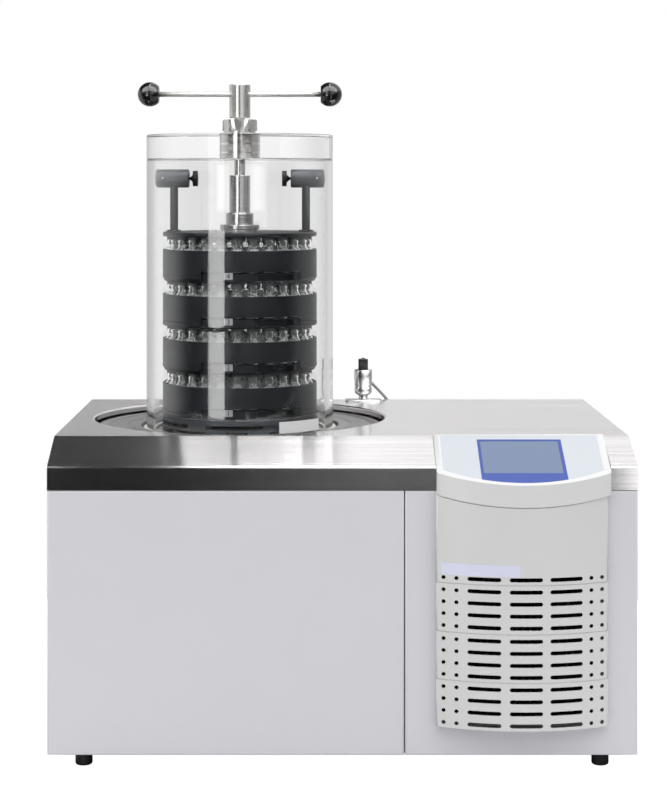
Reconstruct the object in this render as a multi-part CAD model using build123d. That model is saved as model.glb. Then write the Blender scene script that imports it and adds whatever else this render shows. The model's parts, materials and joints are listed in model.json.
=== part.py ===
from build123d import *
import math
import os

os.makedirs("parts", exist_ok=True)

# Bench-top freeze dryer. Millimetres, +Z up, front towards -Y, origin at the middle of the footprint
# on the bench. The cabinet is centred on the origin; the console stands out in front by as much as
# the vacuum port stands out behind.

# ---- cabinet -------------------------------------------------------------------------------------
body_w = 780.0            # over the side panels
body_d = 540.0            # front panel to rear panel
sheet = 1.5               # painted sheet steel
fold = 12.0               # depth of the panels' returns
panel_gap = 0.3           # between neighbouring panels
seam_off_console = 42.0   # joint between the two front panels, left of the console
seam_gap = 1.2
foot_h = 22.5
foot_d = 23.0
foot_in_x = 44.5          # foot axis in from the side
foot_in_y = 40.0
tray_t = 2.0              # base tray floor
tray_lip = 20.0
panel_top = 372.0
edge_r = 3.0              # rolled edge of the front panels

# ---- stainless top cover -------------------------------------------------------------------------
apron_h = 31.0            # upright front strip
bevel_h = 31.0
bevel_run = 77.0
cover_t = 1.5
cover_bend = 4.0
well_d = 425.0            # round cut-out
well_lip = 8.0            # turned-down rim of the cut-out

# ---- chamber axis and ice condenser --------------------------------------------------------------
axis_x = -146.6
axis_from_front = 305.0
flange_d = 400.0
flange_t = 8.0
flange_drop = 16.2        # flange face below the cover's top
throat_d = 200.0          # hole in the flange, under the rack
pot_d = 290.0
pot_wall = 2.0
pot_depth = 293.0
pot_corner = 20.0
stub_d = 20.0
stub_bore = 16.0
stub_len = 25.0
jacket_d = 344.0          # insulation
jacket_gap = 0.4
coil_d = 244.0            # mean diameter of the evaporator
coil_tube = 10.0
coil_pitch = 26.0
coil_turns = 8
coil_below_flange = 230.0
plate_d = 415.0           # grey cover plate round the chamber
plate_t = 5.5
plate_hole = 290.0
plate_line_depth = 0.5
plate_line_w = 1.2
plate_line_ds = (330.0, 384.0)

# ---- vacuum port ---------------------------------------------------------------------------------
port_z = 330.0
port_bore = 26.0
port_wall = 1.5
port_flange_d = 40.0
port_flange_t = 3.0
port_mouth_step = 0.5       # the inner end is bored wider by this, through the pot's wall
port_mouth_len = 3.0        # and this far past it

# ---- acrylic chamber -----------------------------------------------------------------------------
tube_d = 274.0
tube_wall = 10.0
tube_h = 390.0
seal_t = 3.0
seal_w = 18.0
seal_out = 4.0            # seal stands proud of the tube
lid_t = 36.0
lid_seal_t = 1.2
lid_edge = 1.5

# ---- rack ----------------------------------------------------------------------------------------
levels = 4
pitch = 64.75             # shelf to shelf
rack_foot_h = 6.0
rack_foot_w = 30.0
rack_foot_half_angle = 15.0
base_h = 14.0
base_d = 227.0
base_neck = 3.0           # narrower ring between base and lowest shelf
base_wall = 6.0
base_window = (88.0, 6.0)
shelf_rim_d = 227.0
shelf_rim_t = 8.0
shelf_table_d = 219.4
shelf_table_t = 13.0
rim_taper = (3.5, 6.0)
tray_wall = 3.2
tray_top = 46.0           # above the shelf's underside
tray_fit = 0.3
window_from, window_to = -50.0, 88.0
window_low, window_high = 3.0, 16.5
pocket_from, pocket_to, pocket_depth = 27.0, 78.0, 7.0
rod_d = 12.0
rod_offset = 97.3
rod_fit = 0.35
head_d = 26.8
head_below_tube = 26.6    # clamp heads' axis below the tube's top
rod_below_head = 10.5     # rod's end below the clamp head's axis
head_from, head_to = 74.8, 125.0
press_d = 226.4
press_t = 6.5
press_edge = 2.4
bush_d = 21.6
bush_t = 2.5

# ---- vials ---------------------------------------------------------------------------------------
vial_d = 21.8
vial_h = 47.4
vial_wall = 1.1
vial_neck_d = 15.0
vial_lip_d = 18.6
vial_lip_h = 3.6
vial_shoulder_h = 6.5
vial_neck_h = 4.0
vial_ring_rs = (98.5, 75.0)
vial_ring_counts = (28, 20)
stopper_d = 17.6
stopper_leg = 7.0
stopper_fit = 0.3
stopper_play = 0.2        # top of the stopper to the plate above

# ---- stoppering spindle --------------------------------------------------------------------------
spindle_d = 16.0
run_fit = 0.05            # radial running clearance
sleeve_d = 30.5
sleeve_below_lid = 23.1
collar_d = 40.0
collar_h = 16.0
foot_flange_d = 58.0
foot_flange_t = 6.5
foot_flange_lift = 3.4    # above the pressure plate
sleeve_floor = 2.95       # sleeve's closed end above the collar
lid_bush_d = 40.0
lid_bush_flange_d = 46.0
lid_bush_flange_h = 6.0
hexagon = 45.0            # across flats
hexagon_h = 16.8
head_cyl_d = 31.0
head_cyl_gap = 2.5        # head above the hexagon
head_cyl_h = 49.0
tee_above_head_foot = 34.8
tee_d = 7.5
ball_d = 36.0
ball_spacing = 265.0
ball_flat = 13.5          # flat face, from the ball's centre

# ---- clamp screws --------------------------------------------------------------------------------
screw_d = 23.0
screw_t = 7.0
screw_gap = 5.8
screw_shaft_d = 4.0
screw_cone_d = 12.0

# ---- console -------------------------------------------------------------------------------------
console_from_right = 266.0                  # its left side, from the cabinet's right side
console_w = 230.0
console_run = 76.0        # back edge behind the front panel
console_lift = 3.7        # back edge above the top cover
console_slope = 25.6
console_off = 10.0        # corners in front of the panel
console_bulge = 27.0
console_band = 29.0
console_wall = 3.0
console_corner = 6.0
console_edge = 1.6
cover_cut_gap = 0.6
rim_side, rim_back, rim_front = 9.0, 4.5, 5.5
film_recess = 1.0
film_t = 0.8
display_from, display_to = 62.0, 167.0      # across, from the console's left side
display_top, display_bottom = 17.0, 86.0    # horizontal run from the console's back edge
display_t = 3.0
display_gap = 0.25

# ---- grille cover --------------------------------------------------------------------------------
grille_out = 1.2          # left of the console's side
grille_w = 226.4
grille_z = 64.0
grille_wall = 2.5
grille_gap = 1.5          # under the console
groove_zs = (253.5, 189.4, 126.4)
groove = 1.6
groove_depth = 0.9
ledge_t = 2.5
ledge_d = 18.0
row_pitch = 15.65
rows_per_group = 4
slot_l = 43.4
slot_h = 5.5
slot_xs = (61.9, 116.2, 169.3)              # slot centres from the cover's left side
hole_d = 5.4
hole_xs = (9.7, 26.2, 202.9, 217.7)
intake_in = 9.0           # panel opening inside the cover's outline

# ---- machinery -----------------------------------------------------------------------------------
exchanger_w, exchanger_d, exchanger_h = 230.0, 40.0, 250.0
exchanger_from_front = 22.0
fin_t = 1.0
fin_pitch = 9.5
pipe_d = 10.0
pass_rows = 7
fan_gap = 4.0
shroud_d = 26.0
shroud_wall = 3.0
fan_d = 190.0
fan_tip_gap = 3.0
fan_hub_d = 56.0
fan_blades = 7
motor_d = 72.0
motor_l = 52.0
motor_shaft_d = 8.0
compressor_h = 215.0
compressor_feet = 12.0
compressor_side_gap = 3.0
compressor_mid_gap = 14.0
pipe_lane = 23.6          # between the coil's tails and the first compressor
coil_tail = 12.0          # coil's ends stand out of the insulation
compressor_y = 55.0
box_w = 300.0
box_from_right = 30.0
box_z0, box_z1 = 125.0, 345.0
box_depth = 100.0
dryer_d = 30.0            # filter dryer in the liquid line
dryer_l = 90.0
dryer_ahead = 60.0        # its rear end in front of the chamber axis
liquid_out = 16.0         # liquid line's drop, right of the coil's tails

# ---- drain ---------------------------------------------------------------------------------------
drain_z = 70.0
drain_d = 16.0
drain_bore = 10.0
drain_bend = 16.0
valve_w = 24.0
valve_l = 18.0
valve_from_panel = 4.0
nozzle_d = 12.0
nozzle_l = 12.0
lever_l = 52.0
lever_w = 12.0
lever_t = 4.0
lever_stem_d = 8.0
lever_stem_h = 6.0

# ---- mains inlet and rocker ----------------------------------------------------------------------
inlet_from_right = 250.0
inlet_z = 88.0
inlet_w, inlet_h = 100.0, 36.0
bezel_t = 3.0
inlet_depth = 30.0
socket_w, socket_h, socket_depth = 40.0, 20.0, 18.0
socket_dx = -22.0
rocker_dx = 26.0
rocker_w = 29.4
rocker_r = 9.8
rocker_fit = 0.3

# ---- vacuum sensor and its cable -----------------------------------------------------------------
sensor_from_axis = 186.6  # right of the chamber axis
sensor_from_back = 30.0
sensor_base_w, sensor_base_d, sensor_base_t = 56.0, 26.0, 3.0
sensor_neck_d = 14.0
sensor_body_d = 27.0
sensor_collar_d = 28.0
sensor_cap_w = 15.0
sensor_cap_h = 16.5
cable_d = 4.8
plug_from_sensor = 67.0
plug_top = 350.0

# ---- worked out from the above -------------------------------------------------------------------
left, right = -body_w / 2, body_w / 2
console_x = right - console_from_right
seam_x = console_x - seam_off_console
grille_x = console_x - grille_out
inlet_x = right - inlet_from_right
box_x1 = right - box_from_right
box_x0 = box_x1 - box_w
sensor_x = axis_x + sensor_from_axis
plug_x = sensor_x + plug_from_sensor
front, back = -body_d / 2, body_d / 2
tray_floor = foot_h + tray_t
cover_foot = panel_top + panel_gap
crease_z = cover_foot + apron_h
cover_top = crease_z + bevel_h
axis_y = front + axis_from_front
flange_top = cover_top - flange_drop
pot_top = flange_top - flange_t
pot_foot = pot_top - pot_depth
stub_foot = pot_foot - stub_len
port_face = back + console_off + console_bulge
tube_foot = flange_top + seal_t
tube_top = tube_foot + tube_h
lid_foot = tube_top + lid_seal_t
lid_top = lid_foot + lid_t
head_z = tube_top - head_below_tube
sleeve_top = lid_foot - sleeve_below_lid
rack_foot = flange_top
base_z = rack_foot + rack_foot_h
shelf1_z = base_z + base_h + base_neck
press_z = shelf1_z + levels * pitch
press_top = press_z + press_t
foot_flange_z = (press_top + foot_flange_lift, press_top + foot_flange_lift + foot_flange_t)
collar_z = (foot_flange_z[1] + 0.5, foot_flange_z[1] + 0.5 + collar_h)
spindle_low = collar_z[1] + sleeve_floor + run_fit
tray_id = shelf_table_d + 2 * tray_fit
tray_od = tray_id + 2 * tray_wall
bush_top = lid_top + lid_bush_flange_h
hexagon_top = bush_top + hexagon_h
head_foot = hexagon_top + head_cyl_gap
head_top = head_foot + head_cyl_h
tee_z = head_foot + tee_above_head_foot
console_back = front + console_run
console_back_z = cover_top + console_lift
coil_tail_x = axis_x + jacket_d / 2 + coil_tail
first_compressor_edge = coil_tail_x + pipe_lane
last_compressor_edge = right - fold - compressor_side_gap
compressor_d = (last_compressor_edge - first_compressor_edge - compressor_mid_gap) / 2
compressor_xs = (first_compressor_edge + compressor_d / 2, last_compressor_edge - compressor_d / 2)
slope = math.tan(math.radians(console_slope))
sensor_y = back - sensor_from_back
axis = (axis_x, axis_y)


# ---- shapes used throughout ----------------------------------------------------------------------
def block(x0, x1, y0, y1, z0, z1):
    return Pos((x0 + x1) / 2, (y0 + y1) / 2, (z0 + z1) / 2) * Box(x1 - x0, y1 - y0, z1 - z0)


def rod_z(x, y, z0, z1, d):
    return Pos(x, y, (z0 + z1) / 2) * Cylinder(d / 2, z1 - z0)


def rod_x(x0, x1, y, z, d):
    return Pos((x0 + x1) / 2, y, z) * Rot(0, 90, 0) * Cylinder(d / 2, abs(x1 - x0))


def rod_y(x, y0, y1, z, d):
    return Pos(x, (y0 + y1) / 2, z) * Rot(90, 0, 0) * Cylinder(d / 2, abs(y1 - y0))


def pipe_z(x, y, z0, z1, od, bore):
    return rod_z(x, y, z0, z1, od) - rod_z(x, y, z0 - 1, z1 + 1, bore)


def rounded_face(points, radii):
    """A closed outline with a radius of its own at each corner, 0 where it stays sharp."""
    face = Sketch() + make_face(Polyline(*points, close=True))
    for (px, py), radius in zip(points, radii):
        if radius > 0:
            corner = min(face.vertices(), key=lambda v: (v.X - px) ** 2 + (v.Y - py) ** 2)
            face = fillet(corner, radius)
    return face


def turned(points, centre=axis, radii=None):
    """A solid of revolution about an upright axis, from (radius, height) points."""
    face = rounded_face(points, radii or [0] * len(points))
    return Pos(centre[0], centre[1], 0) * revolve(Plane.XZ * face, Axis.Z)


def save(node, shape):
    export_step(shape, "parts/" + node + ".step")


# ---- cabinet -------------------------------------------------------------------------------------
def base_tray():
    x0, x1 = left + fold + panel_gap, right - fold - panel_gap
    y0, y1 = front + fold + panel_gap, back - sheet - panel_gap
    outer = block(x0, x1, y0, y1, foot_h, foot_h + tray_lip)
    inner = block(x0 + tray_t, x1 - tray_t, y0 + tray_t, y1 - tray_t, tray_floor, foot_h + tray_lip + 1)
    return outer - inner


def feet():
    profile = [(0, 0), (foot_d / 2, 0), (foot_d / 2, foot_h), (0, foot_h)]
    places = [(sx * (right - foot_in_x), sy * (back - foot_in_y)) for sx in (-1, 1) for sy in (-1, 1)]
    return Compound([turned(profile, place, [0, 3.0, 0, 0]).solid() for place in places])


def folded_front(x0, x1):
    """A front panel: face with rolled outer edges and returns all round, open behind."""
    outer = block(x0, x1, front, front + fold, foot_h, panel_top)
    rolled = outer.edges().filter_by(lambda e: e.center().Y < front + 0.01)
    outer = fillet(rolled, edge_r)
    inner = block(x0 + sheet, x1 - sheet, front + sheet, front + fold + 1, foot_h + sheet, panel_top - sheet)
    return outer - inner


def front_panel_left():
    return folded_front(left, seam_x - seam_gap / 2)


def front_panel_right():
    panel = folded_front(seam_x + seam_gap / 2, right)
    intake = block(grille_x + intake_in, grille_x + grille_w - intake_in, front - 1, front + sheet + edge_r,
                   grille_z + intake_in, groove_zs[0] + intake_in)
    wires = rod_y(console_x + console_w / 2, front - 1, front + sheet + edge_r, panel_top - 20, 12)
    return panel - [intake, wires]


def side_panels():
    """Left and right side trays; the right one has the outlet slots of the cooling air."""
    y0, y1 = front + fold + panel_gap, back - sheet - panel_gap
    outer = block(left, left + fold, y0, y1, foot_h, panel_top)
    inner = block(left + sheet, left + fold + 1, y0 + sheet, y1 - sheet, foot_h + sheet, panel_top - sheet)
    tray = outer - inner
    slots = []
    for column in range(3):
        for row in range(13):
            y = compressor_y - 95 + column * 90
            z = foot_h + 60 + row * 18
            slot = Plane.YZ * SlotOverall(70, 6)
            slots.append(Pos(right - fold, y, z) * extrude(slot, fold + 1))
    return Compound([tray.solid(), (mirror(tray, Plane.YZ) - slots).solid()])


def rear_panel():
    sheet_body = block(left, right, back - sheet, back, foot_h, panel_top)
    cuts = [rod_y(axis_x, back - 5, back + 5, port_z, port_bore + 2 * port_wall + 4),
            rod_y(axis_x, back - 5, back + 5, drain_z, drain_d + 4),
            block(inlet_x - inlet_w / 2 + 3, inlet_x + inlet_w / 2 - 3, back - 5, back + 5,
                  inlet_z - inlet_h / 2 + 3, inlet_z + inlet_h / 2 - 3)]
    for column in range(2):
        for row in range(7):
            slot = Plane.XZ * SlotOverall(90, 6)
            x = right - 95 - column * 2 * 55
            cuts.append(Pos(x, back + 1, foot_h + 110 + row * 18) * extrude(slot, sheet + 2))
    return sheet_body - cuts


def top_cover():
    profile = [(front, cover_foot), (front, crease_z), (front + bevel_run, cover_top), (back, cover_top),
               (back, cover_foot)]
    bends = [0, cover_bend, cover_bend, cover_bend, 0]
    outer = extrude(Plane.YZ.offset(left) * rounded_face(profile, bends), body_w)
    hollow = [(front, cover_foot - 40)] + profile[1:4] + [(back, cover_foot - 40)]
    inside = offset(rounded_face(hollow, bends), -cover_t)
    inner = extrude(Plane.YZ.offset(left + cover_t) * inside, body_w - 2 * cover_t)
    r = well_d / 2
    hole = rod_z(*axis, cover_foot, cover_top + 5, well_d + 2 * cover_bend)
    z0 = cover_top - well_lip
    lip = turned([(r, z0), (r + cover_t, z0), (r + cover_t, cover_top - cover_t),
                  (r + cover_bend + 0.5, cover_top - cover_t), (r + cover_bend + 0.5, cover_top),
                  (r, cover_top)], axis, [0, 0, cover_bend - 2 * cover_t, 0, 0, cover_bend - cover_t])
    gap = cover_cut_gap
    console_cut = block(console_x - gap, console_x + console_w + gap, front - 10, console_back + gap,
                        cover_foot - 1, cover_top + 10)
    return outer - inner - hole + lip - console_cut


# ---- ice condenser -------------------------------------------------------------------------------
def ice_pot():
    """Deep-drawn pot welded under its flange, with the drain stub welded in its floor."""
    ro, ri = pot_d / 2, pot_d / 2 - pot_wall
    throat = throat_d / 2
    points = [(throat, flange_top), (flange_d / 2, flange_top), (flange_d / 2, pot_top), (ro, pot_top),
              (ro, pot_foot), (stub_d / 2, pot_foot), (stub_d / 2, stub_foot), (stub_bore / 2, stub_foot),
              (stub_bore / 2, pot_foot + pot_wall), (ri, pot_foot + pot_wall), (ri, pot_top),
              (throat, pot_top)]
    radii = [0] * len(points)
    radii[4], radii[9] = pot_corner + pot_wall, pot_corner
    port_hole = rod_y(axis_x, axis_y, axis_y + pot_d, port_z, port_bore + 2 * port_wall)
    coil_holes = [rod_x(axis_x + ri - 5, axis_x + ro + 5, axis_y, z, coil_tube + 1) for z in coil_ends()]
    return turned(points, axis, radii) - port_hole - coil_holes


def vacuum_port():
    """Pipe welded into the pot's wall, with a small vacuum flange behind the rear panel."""
    ri = pot_d / 2 - pot_wall
    pipe = rod_y(axis_x, axis_y + ri - 2, port_face, port_z, port_bore + 2 * port_wall)
    flange = rod_y(axis_x, port_face - port_flange_t, port_face, port_z, port_flange_d)
    cone = Pos(axis_x, port_face - port_flange_t - 1.5, port_z) * Rot(90, 0, 0) * Cone(
        port_flange_d / 2, port_flange_d / 2 - 6, 3)
    bore = rod_y(axis_x, axis_y, port_face + 1, port_z, port_bore)
    mouth = rod_y(axis_x, axis_y, axis_y + pot_d / 2 + port_mouth_len, port_z,
                  port_bore + 2 * port_mouth_step)
    inside = rod_z(*axis, port_z - 40, port_z + 40, 2 * ri)
    return pipe + flange + cone - inside - bore - mouth


def coil_ends():
    low = pot_top - coil_below_flange
    return low, low + coil_pitch * coil_turns


def evaporator_coil():
    """One tube wound up the inside of the pot, with both ends led out through its wall."""
    low, high = coil_ends()
    helix = Helix(coil_pitch, coil_pitch * coil_turns, coil_d / 2)
    start = Plane(origin=helix @ 0, z_dir=helix % 0)
    wound = sweep(start * Circle(coil_tube / 2), path=helix)
    coil = Pos(axis_x, axis_y, low) * wound
    for z in (low, high):
        elbow = Pos(axis_x + coil_d / 2, axis_y, z) * Sphere(coil_tube / 2)
        tail = rod_x(axis_x + coil_d / 2, coil_tail_x, axis_y, z, coil_tube)
        coil = coil + elbow + tail
    return coil


def pot_insulation():
    top = pot_top - panel_gap
    block_ = rod_z(*axis, tray_floor, top, jacket_d)
    cuts = [turned([(0, pot_foot - jacket_gap), (pot_d / 2 + jacket_gap, pot_foot - jacket_gap),
                    (pot_d / 2 + jacket_gap, top + 1), (0, top + 1)], axis,
                   [0, pot_corner + pot_wall, 0, 0]),
            rod_z(*axis, drain_z - drain_bend, pot_foot, stub_d + 4),
            block(axis_x - stub_d / 2 - 2, axis_x + stub_d / 2 + 2, axis_y, axis_y + jacket_d,
                  drain_z - drain_bend, drain_z + drain_bend),
            rod_y(axis_x, axis_y, axis_y + jacket_d, port_z, port_bore + 2 * port_wall + 2)]
    cuts += [rod_x(axis_x, axis_x + jacket_d, axis_y, z, coil_tube + 4) for z in coil_ends()]
    return block_ - cuts


def well_plate():
    z0, z1 = flange_top, flange_top + plate_t
    ring = turned([(plate_hole / 2, z0), (plate_d / 2, z0), (plate_d / 2, z1), (plate_hole / 2, z1)], axis,
                  [0, 0, 1.2, 1.2])
    lines = [pipe_z(*axis, z1 - plate_line_depth, z1 + 1, d, d - 2 * plate_line_w) for d in plate_line_ds]
    return ring - lines


# ---- acrylic chamber -----------------------------------------------------------------------------
def chamber_seal():
    r = tube_d / 2 + seal_out
    inner = r - seal_w
    ring = [(inner, flange_top), (r, flange_top), (r, tube_foot), (inner, tube_foot)]
    return turned(ring, axis, [0, 0, 1.0, 0])


def chamber_tube():
    r = tube_d / 2
    wall = [(r - tube_wall, tube_foot), (r, tube_foot), (r, tube_top), (r - tube_wall, tube_top)]
    return turned(wall, axis,
                  [0.8, 0.8, 0.8, 0.8])


def lid_seal():
    r = tube_d / 2 - 1.0
    inner = r - tube_wall + 2
    return turned([(inner, tube_top), (r, tube_top), (r, lid_foot), (inner, lid_foot)])


def chamber_lid():
    r = tube_d / 2
    outline = [(0, lid_foot), (r, lid_foot), (r, lid_top), (0, lid_top)]
    disc = turned(outline, axis, [0, lid_edge, lid_edge, 0])
    return disc - rod_z(*axis, lid_foot - 1, lid_top + 1, lid_bush_d)


def lid_bush():
    """Threaded bush clamped in the lid, with the hexagon it is tightened by."""
    r = lid_bush_d / 2
    shell = rod_z(*axis, lid_foot, lid_top, lid_bush_d)
    flange = rod_z(*axis, lid_top, bush_top, lid_bush_flange_d)
    corner_r = hexagon / math.sqrt(3)
    prism = Pos(axis_x, axis_y, bush_top) * extrude(RegularPolygon(corner_r, 6), hexagon_h)
    crown = Pos(axis_x, axis_y, bush_top + hexagon_h / 2) * Cylinder(corner_r - 0.6, hexagon_h)
    crown = chamfer(crown.edges().group_by(Axis.Z)[-1], 1.5)
    bore = rod_z(*axis, lid_foot - 1, hexagon_top + 1, spindle_d + 2 * run_fit)
    grooves = [pipe_z(*axis, lid_foot + lid_t * f, lid_foot + lid_t * f + 1.6, 2 * r + 1, 2 * r - 2)
               for f in (0.25, 0.6)]
    return shell - grooves + flange + (prism & crown) - bore


# ---- rack ----------------------------------------------------------------------------------------
def shelf_z(level):
    return shelf1_z + (level - 1) * pitch


def rod_holes(z0, z1):
    d = rod_d + 2 * rod_fit
    return [rod_z(axis_x + s * rod_offset, axis_y, z0, z1, d) for s in (-1, 1)]


def polar(radius, degrees):
    """Point at a radius from the chamber axis, 0 degrees to the right, 90 to the back."""
    a = math.radians(degrees)
    return axis_x + radius * math.cos(a), axis_y + radius * math.sin(a)


def rack_base():
    """Ring that carries the lowest shelf, on short feet, with vapour windows round it."""
    r, top = base_d / 2, base_z + base_h
    points = [(r - base_wall, base_z), (r, base_z), (r, top), (r - 3, top), (r - 3, top + base_neck),
              (r - 30, top + base_neck), (r - 30, top - 2), (r - base_wall, top - 2)]
    ring = turned(points, axis, [0, 1.0, 1.0, 0, 0, 0, 0, 0])
    width, height = base_window
    windows = []
    for i in range(6):
        hole = block(r - 12, r + 5, -width / 2, width / 2, base_z + 3, base_z + 3 + height)
        windows.append(Pos(axis_x, axis_y, 0) * Rot(0, 0, -90 + 60 * i) * hole)
    pads = []
    for i in range(4):
        for side in (-1, 1):
            half = rack_foot_w / 2
            pad = block(r - base_wall - 6, r - 0.5, -half, half, rack_foot, base_z + 0.5)
            turn = Rot(0, 0, -90 + 90 * i + side * rack_foot_half_angle)
            pads.append(Pos(axis_x, axis_y, 0) * turn * pad)
    sockets = [rod_z(axis_x + s * rod_offset, axis_y, top - 2, top + base_neck + 1, rod_d) for s in (-1, 1)]
    return ring - windows + pads - sockets


def shelf(level):
    """Heated shelf: a round table on a wider rim, with the plug pocket in its front edge."""
    z = shelf_z(level)
    rim_r, table_r = shelf_rim_d / 2, shelf_table_d / 2
    rim_top = z + shelf_rim_t
    if level % 2:
        rim = turned([(0, z), (rim_r, z), (rim_r, rim_top), (0, rim_top)], axis, [0, 2.5, 2.5, 0])
    else:
        dr, dz = rim_taper
        rim = turned([(0, z), (rim_r - dr, z), (rim_r, z + dz), (rim_r, rim_top), (0, rim_top)])
    body = rim + rod_z(*axis, rim_top - 1, z + shelf_table_t, shelf_table_d)
    y0, z0 = axis_y - rim_r - 5, z + window_low
    notch = block(axis_x + window_from, axis_x + window_to, y0, axis_y, z0, rim_top)
    notch = notch - rod_z(*axis, z, z + shelf_table_t + 1, shelf_table_d)
    pocket = block(axis_x + pocket_from, axis_x + pocket_to, y0, axis_y, z0, z + shelf_table_t - 1.5)
    pocket = pocket - rod_z(*axis, z, z + shelf_table_t + 1, 2 * (table_r - pocket_depth))
    return body - notch - pocket - rod_holes(z - 1, z + shelf_table_t + 1)


def tray_ring(level):
    """Bottomless ring that stands on the shelf's rim and holds the vials together."""
    z = shelf_z(level)
    z0, z1 = z + shelf_rim_t, z + tray_top
    ring = turned([(tray_id / 2, z0), (tray_od / 2, z0), (tray_od / 2, z1), (tray_id / 2, z1)], axis,
                  [0, 0, 0.8, 0])
    x0, x1 = axis_x + window_from, axis_x + window_to
    window = block(x0, x1, axis_y - tray_od, axis_y, z0 - 1, z + window_high)
    return ring - window


def vial_places():
    """Concentric rings of vials; the outer ring leaves out the two places that the rods take."""
    places = []
    for radius, count in zip(vial_ring_rs, vial_ring_counts):
        for i in range(count):
            x, y = polar(radius, 360 * i / count)
            clear = min(math.hypot(x - axis_x - s * rod_offset, y - axis_y) for s in (-1, 1))
            if clear > (vial_d + rod_d) / 2 + 1:
                places.append((x, y))
    return places


def vials(level):
    z = shelf_z(level) + shelf_table_t
    r, w = vial_d / 2, vial_wall
    neck, lip = vial_neck_d / 2, vial_lip_d / 2
    z_lip = z + vial_h - vial_lip_h
    z_neck = z_lip - vial_neck_h
    z_body = z_neck - vial_shoulder_h
    bore = stopper_leg_d() / 2 + stopper_fit
    points = [(0, z), (r, z), (r, z_body), (neck, z_neck), (neck, z_lip), (lip, z_lip), (lip, z + vial_h),
              (bore, z + vial_h), (bore, z_neck), (r - w, z_body), (r - w, z + 1.5 * w), (0, z + 1.5 * w)]
    one = turned(points, (0, 0), [0, 1.5, 3.0, 0, 0, 0, 0, 0, 0, 0, 0, 0])
    return Compound([(Pos(x, y, 0) * one).solid() for x, y in vial_places()])


def stopper_leg_d():
    return vial_neck_d - 2 * vial_wall - 2 * stopper_fit


def stoppers(level):
    z = shelf_z(level) + shelf_table_t + vial_h
    top = shelf_z(level + 1) - stopper_play
    leg = stopper_leg_d() / 2
    r, z_leg = stopper_d / 2, z - stopper_leg
    points = [(0, z_leg), (leg, z_leg), (leg, z), (r, z), (r, top), (0, top)]
    one = turned(points, (0, 0), [0, 0, 0, 0, 0.8, 0])
    return Compound([(Pos(x, y, 0) * one).solid() for x, y in vial_places()])


def guide_rods():
    """Two rods fixed in the base, each with a round clamp head across its top."""
    rods = []
    for s in (-1, 1):
        x = axis_x + s * rod_offset
        x0, x1 = axis_x + s * head_from, axis_x + s * head_to
        z0 = base_z + base_h - 2
        rod = rod_z(x, axis_y, z0, head_z - rod_below_head, rod_d)
        head = rod_x(min(x0, x1), max(x0, x1), axis_y, head_z, head_d)
        head = chamfer(head.edges().filter_by(GeomType.CIRCLE), 1.2)
        bore_end = x0 + s * 14
        bore = rod_x(min(x0, bore_end) - 1, max(x0, bore_end), axis_y, head_z, screw_shaft_d + 2 * run_fit)
        rods.append((rod + head - bore).solid())
    return Compound(rods)


def clamp_screw(s):
    """Knurled disc on a thin shaft that runs into the clamp head."""
    face = axis_x + s * head_from
    shaft = rod_x(*sorted((face + s * 12, face - s * screw_gap)), axis_y, head_z, screw_shaft_d)
    x0, x1 = face - s * screw_gap, face - s * (screw_gap + screw_t)
    disc = rod_x(*sorted((x0, x1)), axis_y, head_z, screw_d)
    notches = []
    for i in range(24):
        a = math.radians(15 * i)
        y = axis_y + (screw_d / 2 + 0.35) * math.cos(a)
        z = head_z + (screw_d / 2 + 0.35) * math.sin(a)
        notches.append(rod_x(*sorted((x0 - s * 0.8, x1 + s * 0.8)), y, z, 1.8))
    cone = Rot(0, 90 * s, 0) * Cone(screw_cone_d / 2, screw_shaft_d / 2, 4)
    cone = Pos(face - s * (screw_gap - 2), axis_y, head_z) * cone
    return shaft + (disc - notches) + cone


def pressure_plate():
    r = press_d / 2
    disc = turned([(0, press_z), (r, press_z), (r, press_top), (0, press_top)], axis,
                  [0, press_edge, press_edge, 0])
    bushes = [rod_z(axis_x + s * rod_offset, axis_y, press_top - 0.5, press_top + bush_t, bush_d)
              for s in (-1, 1)]
    return disc + bushes - rod_holes(press_z - 1, press_top + bush_t + 1)


def press_sleeve():
    """Turned foot, collar and sleeve between the pressure plate and the spindle's end."""
    r0, r1, r2 = foot_flange_d / 2, collar_d / 2, sleeve_d / 2
    bore = spindle_d / 2 + run_fit
    points = [(0, press_top), (r0 - 2, press_top), (r0 - 2, foot_flange_z[0]), (r0, foot_flange_z[0]),
              (r0, foot_flange_z[1]), (r1, collar_z[0]), (r1, collar_z[1]), (r2, collar_z[1] + 1.5),
              (r2, sleeve_top), (bore, sleeve_top), (bore, spindle_low - run_fit),
              (0, spindle_low - run_fit)]
    radii = [0, 0, 0, 0.8, 0.8, 0, 1.2, 0, 1.2, 0, 0, 0]
    screw_z = (collar_z[0] + collar_z[1]) / 2
    screw = rod_y(axis_x, axis_y - r1 - 1.2, axis_y - r1 + 2, screw_z, 5.5)
    socket = rod_y(axis_x, axis_y - r1 - 2, axis_y - r1 - 0.2, screw_z, 2.8)
    return turned(points, axis, radii) + screw - socket


# ---- spindle -------------------------------------------------------------------------------------
def spindle():
    r, head = spindle_d / 2, head_cyl_d / 2
    points = [(0, spindle_low), (r, spindle_low), (r, head_foot), (head, head_foot), (head, head_top),
              (head - 4, head_top), (head - 6, head_top - 4), (0, head_top - 4)]
    body = turned(points, axis, [0, 0.8, 0, 1.5, 1.2, 0, 0, 0])
    hole = rod_x(axis_x - head_cyl_d, axis_x + head_cyl_d, axis_y, tee_z, tee_d + 2 * run_fit)
    return body - hole


def tee_bar():
    half = ball_spacing / 2
    return rod_x(axis_x - half, axis_x + half, axis_y, tee_z, tee_d)


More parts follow.
